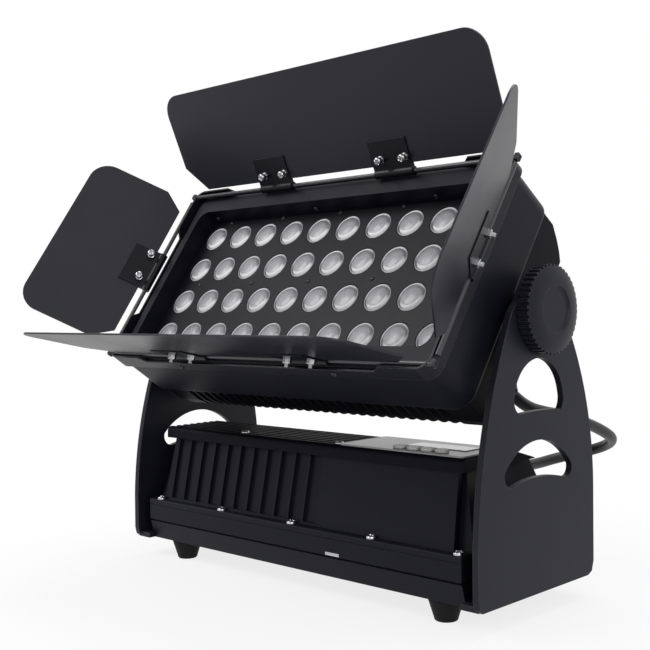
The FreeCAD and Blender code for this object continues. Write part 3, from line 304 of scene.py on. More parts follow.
def makeDust():
    # a thin veil of dust where a surface looks up
    group, given, out = newGroup("dustVeil", [
        ("Colour", "colour", (0.03, 0.03, 0.03, 1)), ("Amount", "value", 0.05)],
        [("Colour", "colour"), ("Mask", "value")])
    normal = addNode(group, "ShaderNodeNewGeometry").outputs["Normal"]
    up = addNode(group, "ShaderNodeSeparateXYZ", i0=normal).outputs[2]
    patchy = noise(group, objectPlace(group), dustLook["patchScale"], dustLook["patchDetail"])
    lying = spread(group, up, dustLook["upRange"], (0.0, 1.0))
    patches = spread(group, patchy, dustLook["patchRange"], (dustLook["least"], 1.0))
    veil = calculate(group, "MULTIPLY", lying, patches)
    mask = calculate(group, "MULTIPLY", veil, given.outputs["Amount"])
    dusty = mixColour(group, mask, given.outputs["Colour"], dustLook["colour"])
    group.links.new(dusty, out.inputs["Colour"])
    group.links.new(mask, out.inputs["Mask"])
    return group


grainLook = {"stretch": (6.0, 1.0, 1.0), "detail": 2.0, "range": (0.3, 0.7), "tones": (0.8, 1.15)}


def makeDrawnGrain():
    # fine drawn lines of bright hardware
    group, given, out = newGroup("drawnGrain", [("Scale", "value", 2500.0)],
                                 [("Height", "value"), ("Tone", "value")])
    stretched = addNode(group, "ShaderNodeMapping", {"vector_type": "TEXTURE"}, Vector=objectPlace(group),
                        Scale=grainLook["stretch"]).outputs[0]
    fine = noise(group, stretched, given.outputs["Scale"], grainLook["detail"])
    group.links.new(fine, out.inputs["Height"])
    group.links.new(spread(group, fine, grainLook["range"], grainLook["tones"]), out.inputs["Tone"])
    return group


powderCoat = makePowderCoat()
softEdge = makeSoftEdge()
dustVeil = makeDust()
drawnGrain = makeDrawnGrain()


# Finishes
def newMaterial(name):
    material = bpy.data.materials.new(name)
    material.use_nodes = True
    tree = material.node_tree
    tree.nodes.clear()
    shader = tree.nodes.new("ShaderNodeBsdfPrincipled")
    out = tree.nodes.new("ShaderNodeOutputMaterial")
    tree.links.new(shader.outputs[0], out.inputs[0])
    return material, tree, shader


def setInputs(tree, shader, values):
    for label, value in values.items():
        setSocket(tree, shader.inputs[label], value)


coatLook = {"bumpDepth": 0.0004, "clearRoughness": 0.25}


def coatedFinish(name, colour, roughness, grain=900.0, bump=0.12, tone=0.12, edge=0.0006, wear=0.5,
                 wearAndEdgeHighlight=(0.045, 0.045, 0.054, 1), dust=0.02, coat=0.0, specular=0.5):
    material, tree, shader = newMaterial(name)
    coating = useGroup(tree, powderCoat, Colour=colour, Grain=grain, Tone=tone, Roughness=roughness)
    edges = useGroup(tree, softEdge, Radius=edge, Wear=wear)
    dusty = useGroup(tree, dustVeil, Colour=coating.outputs["Colour"], Amount=dust)
    bumped = addNode(tree, "ShaderNodeBump", Strength=bump, Distance=coatLook["bumpDepth"],
                     Height=coating.outputs["Height"], Normal=edges.outputs["Normal"])
    setInputs(tree, shader, {
        # sharp edges take the worn colour: edge wear and a painted highlight along the edges together
        "Base Color": mixColour(tree, edges.outputs["Edge"], dusty.outputs["Colour"], wearAndEdgeHighlight),
        "Roughness": coating.outputs["Roughness"],
        "Normal": bumped.outputs[0],
        "Specular IOR Level": specular,
        "Coat Weight": coat,
        "Coat Roughness": coatLook["clearRoughness"],
    })
    return material


brightLook = {"grain": 2500.0, "edge": 0.0002, "wear": 0.2, "bump": 0.08, "bumpDepth": 0.0002}


def brightFinish(name, colour, roughness):
    material, tree, shader = newMaterial(name)
    grain = useGroup(tree, drawnGrain, Scale=brightLook["grain"])
    edges = useGroup(tree, softEdge, Radius=brightLook["edge"], Wear=brightLook["wear"])
    bumped = addNode(tree, "ShaderNodeBump", Strength=brightLook["bump"], Distance=brightLook["bumpDepth"],
                     Height=grain.outputs["Height"], Normal=edges.outputs["Normal"])
    setInputs(tree, shader, {
        "Base Color": scaled(tree, colour, grain.outputs["Tone"]),
        "Metallic": 1.0,
        "Roughness": roughness,
        "Normal": bumped.outputs[0],
    })
    return material


# each finish's worn colour on sharp edges is edge wear and a painted edge highlight together
finishes = {
    "housing": coatedFinish("housingCoat", (0.0042, 0.0045, 0.0085, 1), 0.44, grain=1100.0, wear=0.25,
                            specular=0.13),
    # the lid carries the housing's black paint painted darker: painted shade
    "lid": coatedFinish("lidCoatPaintedShade", (0.0032, 0.0034, 0.0065, 1), 0.5, grain=1100.0, wear=0.25, dust=0.0,
                        specular=0.07),
    # the heat sink carries the housing's black paint painted darker: painted shade
    "sink": coatedFinish("heatSinkCoatPaintedShade", (0.0030, 0.0032, 0.0055, 1), 0.5, grain=1100.0, wear=0.15,
                         dust=0.0, specular=0.08),
    # the door sheets carry the clips' and frame's black paint, painted lighter: painted light
    "sheet": coatedFinish("sheetCoatPaintedLighter", (0.0084, 0.0087, 0.0148, 1), 0.36, grain=1500.0, bump=0.06,
                          tone=0.08, wear=0.8, wearAndEdgeHighlight=(0.085, 0.085, 0.1, 1), specular=0.28),
    "clip": coatedFinish("clipCoat", (0.0034, 0.0036, 0.0062, 1), 0.3, grain=1500.0, bump=0.06, tone=0.08,
                         wear=0.8, wearAndEdgeHighlight=(0.05, 0.05, 0.06, 1), specular=0.16),
    "frame": coatedFinish("frameCoat", (0.0044, 0.0047, 0.0085, 1), 0.36, grain=1500.0, bump=0.06,
                          tone=0.08, edge=0.0007, wear=1.0, wearAndEdgeHighlight=(0.16, 0.16, 0.18, 1), specular=0.18),
    "arm": coatedFinish("armCoat", (0.0080, 0.0084, 0.0135, 1), 0.46, edge=0.0009, wear=0.9,
                        wearAndEdgeHighlight=(0.09, 0.09, 0.105, 1), specular=0.2),
    "rod": coatedFinish("rodSteel", (0.022, 0.022, 0.026, 1), 0.28, grain=2500.0, bump=0.04, wear=0.2),
    "rubber": coatedFinish("rubberFeet", (0.007, 0.007, 0.008, 1), 0.65, grain=700.0, bump=0.2, wear=0.2,
                           dust=0.0, specular=0.15),
    "cable": coatedFinish("cableSheath", (0.007, 0.007, 0.009, 1), 0.4, grain=1500.0, bump=0.05, wear=0.0,
                          specular=0.3),
    "knob": coatedFinish("knobPlastic", (0.0052, 0.0055, 0.0105, 1), 0.42, grain=1300.0, bump=0.1, wear=0.7,
                         wearAndEdgeHighlight=(0.13, 0.13, 0.15, 1), specular=0.18),
    "connector": coatedFinish("connectorPlastic", (0.011, 0.011, 0.013, 1), 0.4, grain=1500.0, bump=0.06,
                              specular=0.3),
    "panel": coatedFinish("panelFilm", (0.22, 0.22, 0.225, 1), 0.3, grain=2500.0, bump=0.02, wear=0.1),
    "window": coatedFinish("windowPane", (0.012, 0.012, 0.016, 1), 0.08, grain=2500.0, bump=0.0, wear=0.0,
                           coat=0.6),
    "button": coatedFinish("buttonPlastic", (0.5, 0.49, 0.48, 1), 0.4, grain=1500.0, bump=0.04, wear=0.0,
                           dust=0.0),
    "plate": coatedFinish("lensPlateCoat", (0.0068, 0.0067, 0.0092, 1), 0.36, grain=1800.0, bump=0.04,
                          tone=0.1, specular=0.12),
    "board": coatedFinish("boardLaminate", (0.02, 0.09, 0.04, 1), 0.35, wear=0.0, dust=0.0),
    "chip": coatedFinish("emitterPackage", (0.75, 0.72, 0.5, 1), 0.4, grain=2000.0, wear=0.0, dust=0.0),
    "zinc": brightFinish("brightZinc", (0.5, 0.5, 0.52), 0.26),
    "darkSteel": brightFinish("darkScrewSteel", (0.06, 0.06, 0.065), 0.35),
}

# The catch is a painted highlight: a bright rim painted on a lens's lower side, which leans away from the
# beam; the face is painted lighter towards that side too, a painted shade
lensLook = {
    "faceInPaintedShade": (0.165, 0.162, 0.178, 1), "faceInPaintedLight": (0.42, 0.415, 0.435, 1),
    "paintedHighlight": (0.97, 0.97, 0.98, 1), "paintedLightSide": (0.35, 0.0, -0.94), "paintedHighlightLean": (0.95, 0.84),
    "paintedHighlightFrom": (0.12, 0.4),
    "paintedShadeFrom": (-0.3, 0.35), "paintedShadeTo": (0.1, 0.75),
    "streaks": 420.0, "streakStretch": (1.0, 1.0, 5.0), "streakDetail": 3.0, "streakFrom": (0.3, 0.7),
    "streakTo": (-0.14, 0.14),
    "beads": 650.0, "beadRange": (0.0, 0.6), "roughness": (0.3, 0.42), "bump": 0.3, "bumpDepth": 0.0005,
    "specular": 0.4, "coat": 0.3, "coatRoughness": 0.12,
}


def makeLensFinish():
    # frosted clear moulding: a grey streaked and beaded face, painted lighter towards its lower side as
    # painted shade, with a bright painted highlight low on its rim
    material, tree, shader = newMaterial("lensMoulding")
    coordinates = addNode(tree, "ShaderNodeTexCoord")
    place, normal = coordinates.outputs["Object"], coordinates.outputs["Normal"]
    beads = addNode(tree, "ShaderNodeTexVoronoi", {"feature": "SMOOTH_F1"}, Vector=place,
                    Scale=lensLook["beads"]).outputs["Distance"]
    drawn = addNode(tree, "ShaderNodeMapping", {"vector_type": "TEXTURE"}, Vector=place,
                    Scale=lensLook["streakStretch"]).outputs[0]
    streaks = noise(tree, drawn, lensLook["streaks"], lensLook["streakDetail"])
    turn = headPlace.to_3x3()
    lean = dotProduct(tree, normal, turn @ Vector((0, -1, 0)))
    side = dotProduct(tree, normal, turn @ Vector(lensLook["paintedLightSide"]))
    # the face's tone: painted shade by which way the face looks, with streaks on top
    tone = calculate(tree, "ADD", spread(tree, side, lensLook["paintedShadeFrom"], lensLook["paintedShadeTo"]),
                     spread(tree, streaks, lensLook["streakFrom"], lensLook["streakTo"]))
    face = mixColour(tree, tone, lensLook["faceInPaintedShade"], lensLook["faceInPaintedLight"])
    # the painted highlight: a bright crescent painted low on each lens's rim
    paintedHighlight = calculate(tree, "MULTIPLY", spread(tree, lean, lensLook["paintedHighlightLean"], (0.0, 1.0)),
                      spread(tree, side, lensLook["paintedHighlightFrom"], (0.0, 1.0)))
    bumped = addNode(tree, "ShaderNodeBump", Strength=lensLook["bump"], Distance=lensLook["bumpDepth"],
                     Height=beads)
    setInputs(tree, shader, {
        "Base Color": mixColour(tree, paintedHighlight, face, lensLook["paintedHighlight"]),
        "Roughness": spread(tree, beads, lensLook["beadRange"], lensLook["roughness"]),
        "Normal": bumped.outputs[0],
        "Specular IOR Level": lensLook["specular"],
        "Coat Weight": lensLook["coat"],
        "Coat Roughness": lensLook["coatRoughness"],
    })
    return material


finishes["lens"] = makeLensFinish()
print("finishes made:", len(finishes))

# The CAD nodes that show as they are
nodeFinishes = {
    "housing": ["base_pan", "head_housing", "front_bezel"],
    "sink": ["heat_sink"],
    "clip": ["door_clips_top", "door_clips_bottom", "door_clips_left", "door_clips_right"],
    "frame": ["door_frame"],
    "arm": ["side_arm_left", "side_arm_right"],
    "rod": ["rod_top", "rod_bottom", "rod_left", "rod_right"],
    "zinc": ["pivot_stud_left", "pivot_stud_right", "power_supply"],
    "rubber": ["rubber_feet"],
    "knob": ["knob_left", "knob_right"],
    "connector": ["power_input", "power_output", "data_input", "data_output", "base_gland", "head_gland"],
    "panel": ["control_panel"],
    "window": ["display_window"],
    "button": ["button_mode", "button_down", "button_up", "button_enter"],
    "plate": ["lens_plate"],
    "board": ["control_board", "led_board"],
    "chip": ["led_chips"],
}
for finish, names in nodeFinishes.items():
    for name in names:
        cadNodes[name].data.materials.clear()
        cadNodes[name].data.materials.append(finishes[finish])


# Cable between head and base
cableSetup = {
    "radius": 0.005,
    "around": 20,
    "route": [
        (0.172, 0.0144, 0.15186), (0.172, 0.0307, 0.1405), (0.175, 0.059, 0.1325), (0.1785, 0.084, 0.1285),
        (0.180, 0.108, 0.121), (0.1805, 0.130, 0.114), (0.180, 0.150, 0.1065), (0.1765, 0.166, 0.100),
        (0.167, 0.1786, 0.0935), (0.153, 0.1854, 0.0875), (0.1374, 0.1854, 0.0825), (0.1234, 0.1786, 0.0785),
        (0.1138, 0.166, 0.0755), (0.1103, 0.150, 0.0735), (0.1096, 0.131, 0.0735), (0.1106, 0.113, 0.076),
        (0.110, 0.096, 0.080), (0.110, 0.080, 0.081), (0.110, 0.06114, 0.07433),
    ],
    "length": 0.3497,
    "turnFrom": 0.150,
    "turnTo": 0.080,
}


def smoothLine(name, points, order=3, resolution=8):
    # the points that a smooth curve over the control points gives
    curve = bpy.data.curves.new(name, "CURVE")
    curve.dimensions = "3D"
    spline = curve.splines.new("NURBS")
    spline.points.add(len(points) - 1)
    for point, spot in zip(spline.points, points):
        point.co = (*spot, 1.0)
    spline.order_u = order
    spline.use_endpoint_u = True
    curve.resolution_u = resolution
    holder = bpy.data.objects.new(name, curve)
    scene.collection.objects.link(holder)
    bpy.context.view_layer.update()
    mesh = bpy.data.meshes.new_from_object(holder)
    line = [vertex.co.copy() for vertex in mesh.vertices]
    bpy.data.objects.remove(holder)
    bpy.data.meshes.remove(mesh)
    return line


def addTube(bm, line, radius, around):
    # a round tube along the line, with flat ends
    side = (line[1] - line[0]).orthogonal().normalized()
    circle = circlePoints(radius, around)
    rings = []
    for index, spot in enumerate(line):
        way = (line[min(index + 1, len(line) - 1)] - line[max(index - 1, 0)]).normalized()
        side = (side - way * side.dot(way)).normalized()
        other = way.cross(side)
        rings.append([bm.verts.new(spot + side * x + other * y) for x, y in circle])
    joinRings(bm, rings)
    bm.faces.new(rings[0])
    bm.faces.new(rings[-1])


def makeCable():
    line = smoothLine("cable_line", cableSetup["route"])
    bm = bmesh.new()
    addTube(bm, line, cableSetup["radius"], cableSetup["around"])
    cable = makePiece("interconnect_cable_sheath", bm, finishes["cable"], None,
                      ["interconnect_cable"])
    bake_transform(cable)


makeCable()
print("cable made")


# Driver housing and its lid, trimmed to the photograph's closer lines
def copyNode(node, weld=1e-6):
    # an editable copy of a CAD node's mesh, its split corners joined
    bm = bmesh.new()
    bm.from_mesh(cadNodes[node].data)
    bmesh.ops.remove_doubles(bm, verts=bm.verts, dist=weld)
    return bm


# The lid's rounded ends and front move in whole, so its edges keep their shape
lidTrim = {"endFrom": 0.1805, "endIn": 0.0072, "frontFrom": -0.0655, "frontBack": 0.0105,
           "smoothBelow": 25.0}


def makeLid():
    bm = copyNode("driver_lid")
    for vertex in bm.verts:
        if abs(vertex.co.x) > lidTrim["endFrom"]:
            vertex.co.x -= math.copysign(lidTrim["endIn"], vertex.co.x)
        if vertex.co.y < lidTrim["frontFrom"]:
            vertex.co.y += lidTrim["frontBack"]
    makePiece("driver_lid_cover", bm, finishes["lid"], "base", ["driver_lid"],
              smoothBelow=lidTrim["smoothBelow"])


# The cooling slots' floors lean back from their foot, and come forward by the lift
slotTrim = {"above": 0.0405, "foot": 0.041, "floor": 0.064, "lean": 0.2207, "near": 0.0003, "lift": 0.0035}
cornerTrim = {"footHalfWidth": 0.1765, "topHalfWidth": 0.1730, "footFront": -0.071, "topFront": -0.058,
              "foot": 0.0391, "top": 0.0985, "depth": 0.007, "reach": 0.025, "smoothBelow": 25.0}


def raiseSlotFloors(bm):
    # brings the vertices of the slots' floors forward
    for vertex in bm.verts:
        floor = slotTrim["floor"] - slotTrim["lean"] * (vertex.co.z - slotTrim["foot"])
        if vertex.co.z > slotTrim["above"] and abs(vertex.co.y + floor) < slotTrim["near"]:
            vertex.co.y -= slotTrim["lift"]


def addCornerCutter(bm, sign):
    # a leaning block that takes one front corner away
    rings = []
    for level in ("foot", "top"):
        inner, front = cornerTrim[level + "HalfWidth"], cornerTrim[level + "Front"]
        outer, ahead = inner + cornerTrim["reach"], front - cornerTrim["reach"]
        back = front + cornerTrim["depth"]
        corners = [(inner, ahead), (outer, ahead), (outer, back), (inner, back)]
        rings.append([bm.verts.new((sign * x, y, cornerTrim[level])) for x, y in corners])
    joinRings(bm, rings)
    for ring in rings:
        bm.faces.new(ring)


def cutAway(bm, cutters):
    # what is left of the first mesh without the second
    whole, cutter = makeObject("housing_whole", bm), makeObject("corner_cutters", cutters)
    cut = whole.modifiers.new("corners", "BOOLEAN")
    cut.operation = "DIFFERENCE"
    cut.solver = "EXACT"
    cut.object = cutter
    bpy.context.view_layer.update()
    left = bmesh.new()
    left.from_mesh(whole.evaluated_get(bpy.context.evaluated_depsgraph_get()).data)
    for made in (cutter, whole):
        bpy.data.objects.remove(made)
    return left


def makeHousing():
    # the ribbed front panel ends short of the sloping end walls
    cutters = bmesh.new()
    for sign in (-1, 1):
        addCornerCutter(cutters, sign)
    bmesh.ops.recalc_face_normals(cutters, faces=cutters.faces)
    bm = copyNode("driver_housing")
    raiseSlotFloors(bm)
    bm = cutAway(bm, cutters)
    print("housing corners cut:", len(bm.faces), "faces")
    makePiece("driver_housing_shell", bm, finishes["housing"], "base", ["driver_housing"],
              smoothBelow=cornerTrim["smoothBelow"])


makeLid()
makeHousing()
print("housing made")


# Barn doors: each turns on a rod whose middle is its joint's place
doorAngles = {"top": 57.8, "bottom": 67.5, "left": 50.4, "right": 59.3}
rodSpots = {}
for side in doorAngles:
    rodSpots[side] = headPlace.inverted() @ Vector(joints["door_%s_hinge" % side]["pos_m"])


def doorPlace(side):
    # the door's own frame: its rod along X, its sheet standing up along Z
    angle = math.radians(doorAngles[side])
    turns = {
        "top": Matrix.Rotation(angle, 4, "X"),
        "bottom": Matrix.Rotation(math.pi - angle, 4, "X"),
        "left": Matrix.Rotation(angle, 4, "Z") @ Matrix.Rotation(-math.pi / 2, 4, "Y"),
        "right": Matrix.Rotation(-angle, 4, "Z") @ Matrix.Rotation(math.pi / 2, 4, "Y"),
    }
    return headPlace @ Matrix.Translation(rodSpots[side]) @ turns[side]


# Small rounded sockets where the rods meet
socketTrim = {"deepShare": 0.76, "highShare": 0.56, "outer": 0.1990, "flatBelow": 1.0, "round": 0.0009,
              "roundSteps": 3}


def makeRodSockets():
    bm = copyNode("rod_corners")
    back = headPlace.inverted()
    rod = rodSpots["top"]
    spots = [back @ vertex.co for vertex in bm.verts]
    middle = sum(abs(spot.z) for spot in spots) / len(spots)
    for vertex, spot in zip(bm.verts, spots):
        spot.z = math.copysign(rod.z + (abs(spot.z) - middle) * socketTrim["highShare"], spot.z)
        spot.y = rod.y + (spot.y - rod.y) * socketTrim["deepShare"]
        spot.x = math.copysign(min(abs(spot.x), socketTrim["outer"]), spot.x)
        vertex.co = headPlace @ spot
    bmesh.ops.dissolve_limit(bm, angle_limit=math.radians(socketTrim["flatBelow"]), verts=bm.verts,
                             edges=bm.edges)
    bmesh.ops.bevel(bm, geom=list(bm.edges), offset=socketTrim["round"], segments=socketTrim["roundSteps"],
                    affect="EDGES")
    makePiece("rod_sockets", bm, finishes["frame"], "head", ["rod_corners"])


makeRodSockets()


# Lenses: (radius, height) points from the back of a moulding over its rim to the middle of its dome
lensSetup = {
    "columns": 10, "rows": 4, "pitchWide": 0.036, "pitchHigh": 0.038, "around": 40, "smoothBelow": 60.0,
    "profile": [(0, -0.0144), (0.006, -0.0144), (0.0133, -0.0022), (0.0133, -0.0004), (0.0130, -0.0001),
                (0.0125, -0.0001), (0.0122, -0.0005), (0.0120, -0.0016), (0.0117, -0.0017),
                (0.0114, -0.0009), (0.0108, 0.0002), (0.0099, 0.0010), (0.0086, 0.0016), (0.0068, 0.0020),
                (0.0045, 0.0023), (0.002, 0.00245), (0, 0.0025)],
}


def makeLenses():
    bm = bmesh.new()
    for column in range(lensSetup["columns"]):
        across = lensSetup["pitchWide"] * (column - (lensSetup["columns"] - 1) / 2)
        for row in range(lensSetup["rows"]):
            up = lensSetup["pitchHigh"] * (row - (lensSetup["rows"] - 1) / 2)
            place = headPlace @ facing((across, 0, up), (0, -1, 0))
            addLathe(bm, lensSetup["profile"], place, lensSetup["around"])
    makePiece("lens_mouldings", bm, finishes["lens"], "head", ["lenses"],
              smoothBelow=lensSetup["smoothBelow"])


makeLenses()
print("lenses made")


# Shapes of screws, bolts and nuts, in shares of their radius and height
screwShape = {
    "profile": [(1.0, 0.0), (1.0, 0.35), (0.93, 0.68), (0.78, 0.88), (0.6, 0.97), (0.42, 1.0), (0.22, 1.0),
                (0, 1.0)],
    "crossHalfWidth": 0.13, "crossReach": 0.62, "crossAbove": 0.5, "crossFloor": 0.45,
    "nutSides": 6, "nutBevel": 0.12, "threadRoot": 0.86, "smallAround": 16,
}


def addScrewHead(bm, place, radius, height, around=24):
    # a domed head with a cross recess
    start = len(bm.verts)
    addLathe(bm, [(radius * out, height * up) for out, up in screwShape["profile"]], place, around)
    bm.verts.ensure_lookup_table()
    back = place.inverted()
    for vertex in bm.verts[start:]:
        local = back @ vertex.co
        reach = math.hypot(local.x, local.y)
        inArm = min(abs(local.x), abs(local.y)) < radius * screwShape["crossHalfWidth"]
        inTop = local.z > height * screwShape["crossAbove"]
        if inArm and inTop and reach < radius * screwShape["crossReach"]:
            vertex.co = place @ Vector((local.x, local.y, height * screwShape["crossFloor"]))


def addHexNut(bm, place, across, height):
    # a six-sided nut with its upper corners taken off
    outline = circlePoints(across / math.sqrt(3), screwShape["nutSides"])
    addPrism(bm, outline, 0.0, height, place, bevel=height * screwShape["nutBevel"])


def addThread(bm, place, radius, length, pitch):
    # a bolt end with ridges for its thread
    root = radius * screwShape["threadRoot"]
    turns = int(length / pitch)
    profile = [(root, 0.0)]
    for turn in range(turns):
        profile += [(radius, (turn + 0.5) * pitch), (root, (turn + 1) * pitch)]
    addLathe(bm, profile + [(0, turns * pitch)], place, screwShape["smallAround"])


# The door sheets, with rounder corners at their tips
sheetTrim = {"tip": 0.105, "corner": 0.014, "rounder": 0.0205, "near": 0.00002}


def makeDoorSheets():
    tip, corner, rounder = sheetTrim["tip"], sheetTrim["corner"], sheetTrim["rounder"]
    for side in doorAngles:
        bm = copyNode("door_" + side)
        place = doorPlace(side)
        back = place.inverted()
        spots = [back @ vertex.co for vertex in bm.verts]
        half = max(abs(spot.x) for spot in spots)
        moved = 0
        for vertex, spot in zip(bm.verts, spots):
            across, up = abs(spot.x) - (half - corner), spot.z - (tip - corner)
            if min(across, up) < -sheetTrim["near"]:
                continue
            spot.x = math.copysign(half - rounder + across * rounder / corner, spot.x)
            spot.z = tip - rounder + up * rounder / corner
            vertex.co = place @ spot
            moved += 1
        print("door sheet", side, "corner points moved:", moved)
        makePiece("door_sheet_" + side, bm, finishes["sheet"], "door_" + side,
                  ["door_" + side])


makeDoorSheets()


# The clips' bolts, at places along the rod and up the sheet; the collar is in shares of the stub
clipBolts = {
    "spacing": 0.0133, "leaf": 0.00195, "headRadius": 0.0036, "headHeight": 0.0022, "stubRadius": 0.0027,
    "stub": 0.0048, "collar": 1.25, "collarLow": 0.18, "collarHigh": 0.22, "nutAcross": 0.0062,
    "nut": 0.0036, "endRadius": 0.0019, "end": 0.0034, "pitch": 0.0006, "spinPerMetre": 37.0,
    "middles": {"top": (-0.0695, 0.0765), "bottom": (-0.071, 0.075), "left": (0.0017,), "right": (-0.002,)},
    "up": {"top": 0.0134, "bottom": 0.013, "left": 0.0113, "right": 0.009},
}


def addClipBolt(bm, side, across):
    # a round-headed bolt on a stub through the clip, with its nut and thread end behind the sheet
    inner = 1 if side == "bottom" else -1
    leaf, up, spin = inner * clipBolts["leaf"], clipBolts["up"][side], across * clipBolts["spinPerMetre"]
    stub, radius = clipBolts["stub"], clipBolts["stubRadius"]
    collar = radius * clipBolts["collar"]
    front = doorPlace(side) @ facing((across, leaf, up), (0, inner, 0), spin)
    addLathe(bm, [(0, 0), (collar, 0), (collar, stub * clipBolts["collarLow"]),
                  (radius, stub * clipBolts["collarHigh"]), (radius, stub), (0, stub)],
             front, screwShape["smallAround"])
    head = front @ Matrix.Translation((0, 0, stub))
    addScrewHead(bm, head, clipBolts["headRadius"], clipBolts["headHeight"])
    back = doorPlace(side) @ facing((across, -leaf, up), (0, -inner, 0), spin)
    addHexNut(bm, back, clipBolts["nutAcross"], clipBolts["nut"])
    end = back @ Matrix.Translation((0, 0, clipBolts["nut"]))
    addThread(bm, end, clipBolts["endRadius"], clipBolts["end"], clipBolts["pitch"])


def makeClipBolts():
    for side in doorAngles:
        bm = bmesh.new()
        for middle in clipBolts["middles"][side]:
            for offset in (-clipBolts["spacing"], clipBolts["spacing"]):
                addClipBolt(bm, side, middle + offset)
        makePiece("door_%s_bolts" % side, bm, finishes["zinc"], "door_" + side)


makeClipBolts()


# Fittings on the housing's leaning back wall and on the head's gland
wallNormal = (0, 0.937, 0.3494)
fittings = {
    "capNodes": ["power_input", "power_output", "data_input", "data_output"],
    "capBack": 0.04419, "capUp": 0.068, "capLow": 0.0148, "capHigh": 0.0252, "capBevel": 0.0008,
    "capRadius": 0.0117, "ribRadius": 0.0124, "ribs": 24,
    "rib": [(0.0, "capRadius"), (0.3, "capRadius"), (0.42, "ribRadius"), (0.88, "ribRadius")],
    "glands": [("base", (0.110, 0.04427, 0.06805), wallNormal),
               ("head", (0.172, -0.00037, 0.16215), (0, 0.8204, -0.5717))],
    "nutAcross": 0.0196, "nut": 0.0046, "domeAcross": 0.0162, "domeLow": 0.0062, "dome": 0.0075,
    "smoothBelow": 30.0,
}


def makeCapGrips():
    bm = bmesh.new()
    outline = []
    for rib in range(fittings["ribs"]):
        for share, radius in fittings["rib"]:
            angle = 2 * math.pi * (rib + share) / fittings["ribs"]
            outline.append((fittings[radius] * math.cos(angle), fittings[radius] * math.sin(angle)))
    for node in fittings["capNodes"]:
        low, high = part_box(node)
        spot = ((low[0] + high[0]) / 2, fittings["capBack"], fittings["capUp"])
        addPrism(bm, outline, fittings["capLow"], fittings["capHigh"], facing(spot, wallNormal),
                 bevel=fittings["capBevel"])
    makePiece("connector_cap_grips", bm, finishes["connector"], "base",
              smoothBelow=fittings["smoothBelow"])


def makeGlandNuts():
    for body, spot, normal in fittings["glands"]:
        bm = bmesh.new()
        addHexNut(bm, facing(spot, normal), fittings["nutAcross"], fittings["nut"])
        top = facing(spot, normal) @ Matrix.Translation((0, 0, fittings["domeLow"]))
        addHexNut(bm, top, fittings["domeAcross"], fittings["dome"])
        makePiece("gland_nuts_" + body, bm, finishes["connector"], body,
                  smoothBelow=fittings["smoothBelow"])


makeCapGrips()
makeGlandNuts()


def makeScrewSet(name, screws, finish, body, around=24):
    # one piece of screws, each given by its place and its sizes
    bm = bmesh.new()
    for place, sizes in screws:
        addScrewHead(bm, place, sizes["radius"], sizes["height"], around)
    makePiece(name, bm, finishes[finish], body)


plateScrews = {"radius": 0.0021, "height": 0.0011, "across": (-0.15, -0.075, 0.0, 0.075, 0.15),
               "up": (-0.0755, 0.0, 0.0755)}
rimScrews = {"radius": 0.0024, "height": 0.0012, "across": (-0.165, -0.0263, 0.1138), "front": 0.007,
             "up": 0.077}
cornerScrew = {"radius": 0.0034, "height": 0.0016, "across": 0.1588, "up": -0.0658, "spin": 0.4}


def makeLensPlateScrews():
    screws = []
    for index, across in enumerate(plateScrews["across"]):
        for up in plateScrews["up"]:
            screws.append((headPlace @ facing((across, 0, up), (0, -1, 0), index), plateScrews))
    for index, across in enumerate(rimScrews["across"]):
        for sign in (-1, 1):
            spot = (across, -rimScrews["front"], sign * rimScrews["up"])
            screws.append((headPlace @ facing(spot, (0, 0, -sign), index), rimScrews))
    makeScrewSet("lens_plate_screws", screws, "darkSteel", "head", screwShape["smallAround"])
    spot = (cornerScrew["across"], 0, cornerScrew["up"])
    place = headPlace @ facing(spot, (0, -1, 0), cornerScrew["spin"])
    makeScrewSet("lens_plate_corner_screw", [(place, cornerScrew)], "zinc", "head")


ledgeScrews = {"radius": 0.0042, "height": 0.0026, "across": (-0.177, -0.087, 0.005, 0.097, 0.184),
               "front": -0.0747, "top": 0.039}
wallScrew = {"radius": 0.0026, "height": 0.0016, "across": -0.1785, "up": 0.037, "foot": (-0.064, 0.0391),
             "run": 0.013, "rise": 0.0594}


def makeBaseScrews():
    screws = []
    for index, across in enumerate(ledgeScrews["across"]):
        spot = (across, ledgeScrews["front"], ledgeScrews["top"])
        screws.append((facing(spot, (0, 0, 1), index), ledgeScrews))
    makeScrewSet("ledge_screws", screws, "zinc", "base")
    # the wall screw stands a given way up the front wall's slope
    run, rise = wallScrew["run"], wallScrew["rise"]
    share = wallScrew["up"] / math.hypot(run, rise)
    spot = (wallScrew["across"], wallScrew["foot"][0] + run * share, wallScrew["foot"][1] + rise * share)
    place = facing(spot, (0, -rise, run))
    makeScrewSet("front_wall_screws", [(place, wallScrew)], "zinc", "base")


# A small bright tab in the seam of the front band
seamTab = {"place": (0.058, -0.0795, 0.0209), "halfWidth": 0.0078, "halfHeight": 0.0013, "thick": 0.0006,
           "bevel": 0.0002}


def makeSeamTab():
    bm = bmesh.new()
    wide, high = seamTab["halfWidth"], seamTab["halfHeight"]
    addPrism(bm, [(-wide, -high), (wide, -high), (wide, high), (-wide, high)], 0, seamTab["thick"],
             facing(seamTab["place"], (0, -1, 0)), bevel=seamTab["bevel"])
    makePiece("seam_tab", bm, finishes["zinc"], "base")


lidScrews = {"radius": 0.0038, "height": 0.0016, "spots": [(-0.078, -0.0515), (0.045, -0.0545)],
             "top": 0.1087}


def makeLidScrews():
    screws = []
    for index, spot in enumerate(lidScrews["spots"]):
        screws.append((facing((*spot, lidScrews["top"]), (0, 0, 1), index), lidScrews))
    makeScrewSet("lid_screws", screws, "zinc", "base")


frameScrews = {"radius": 0.0026, "height": 0.0014, "front": 0.0125, "side": 0.1945, "up": (-0.0086, 0.0186),
               "end": 0.100, "across": (-0.095, 0.095)}


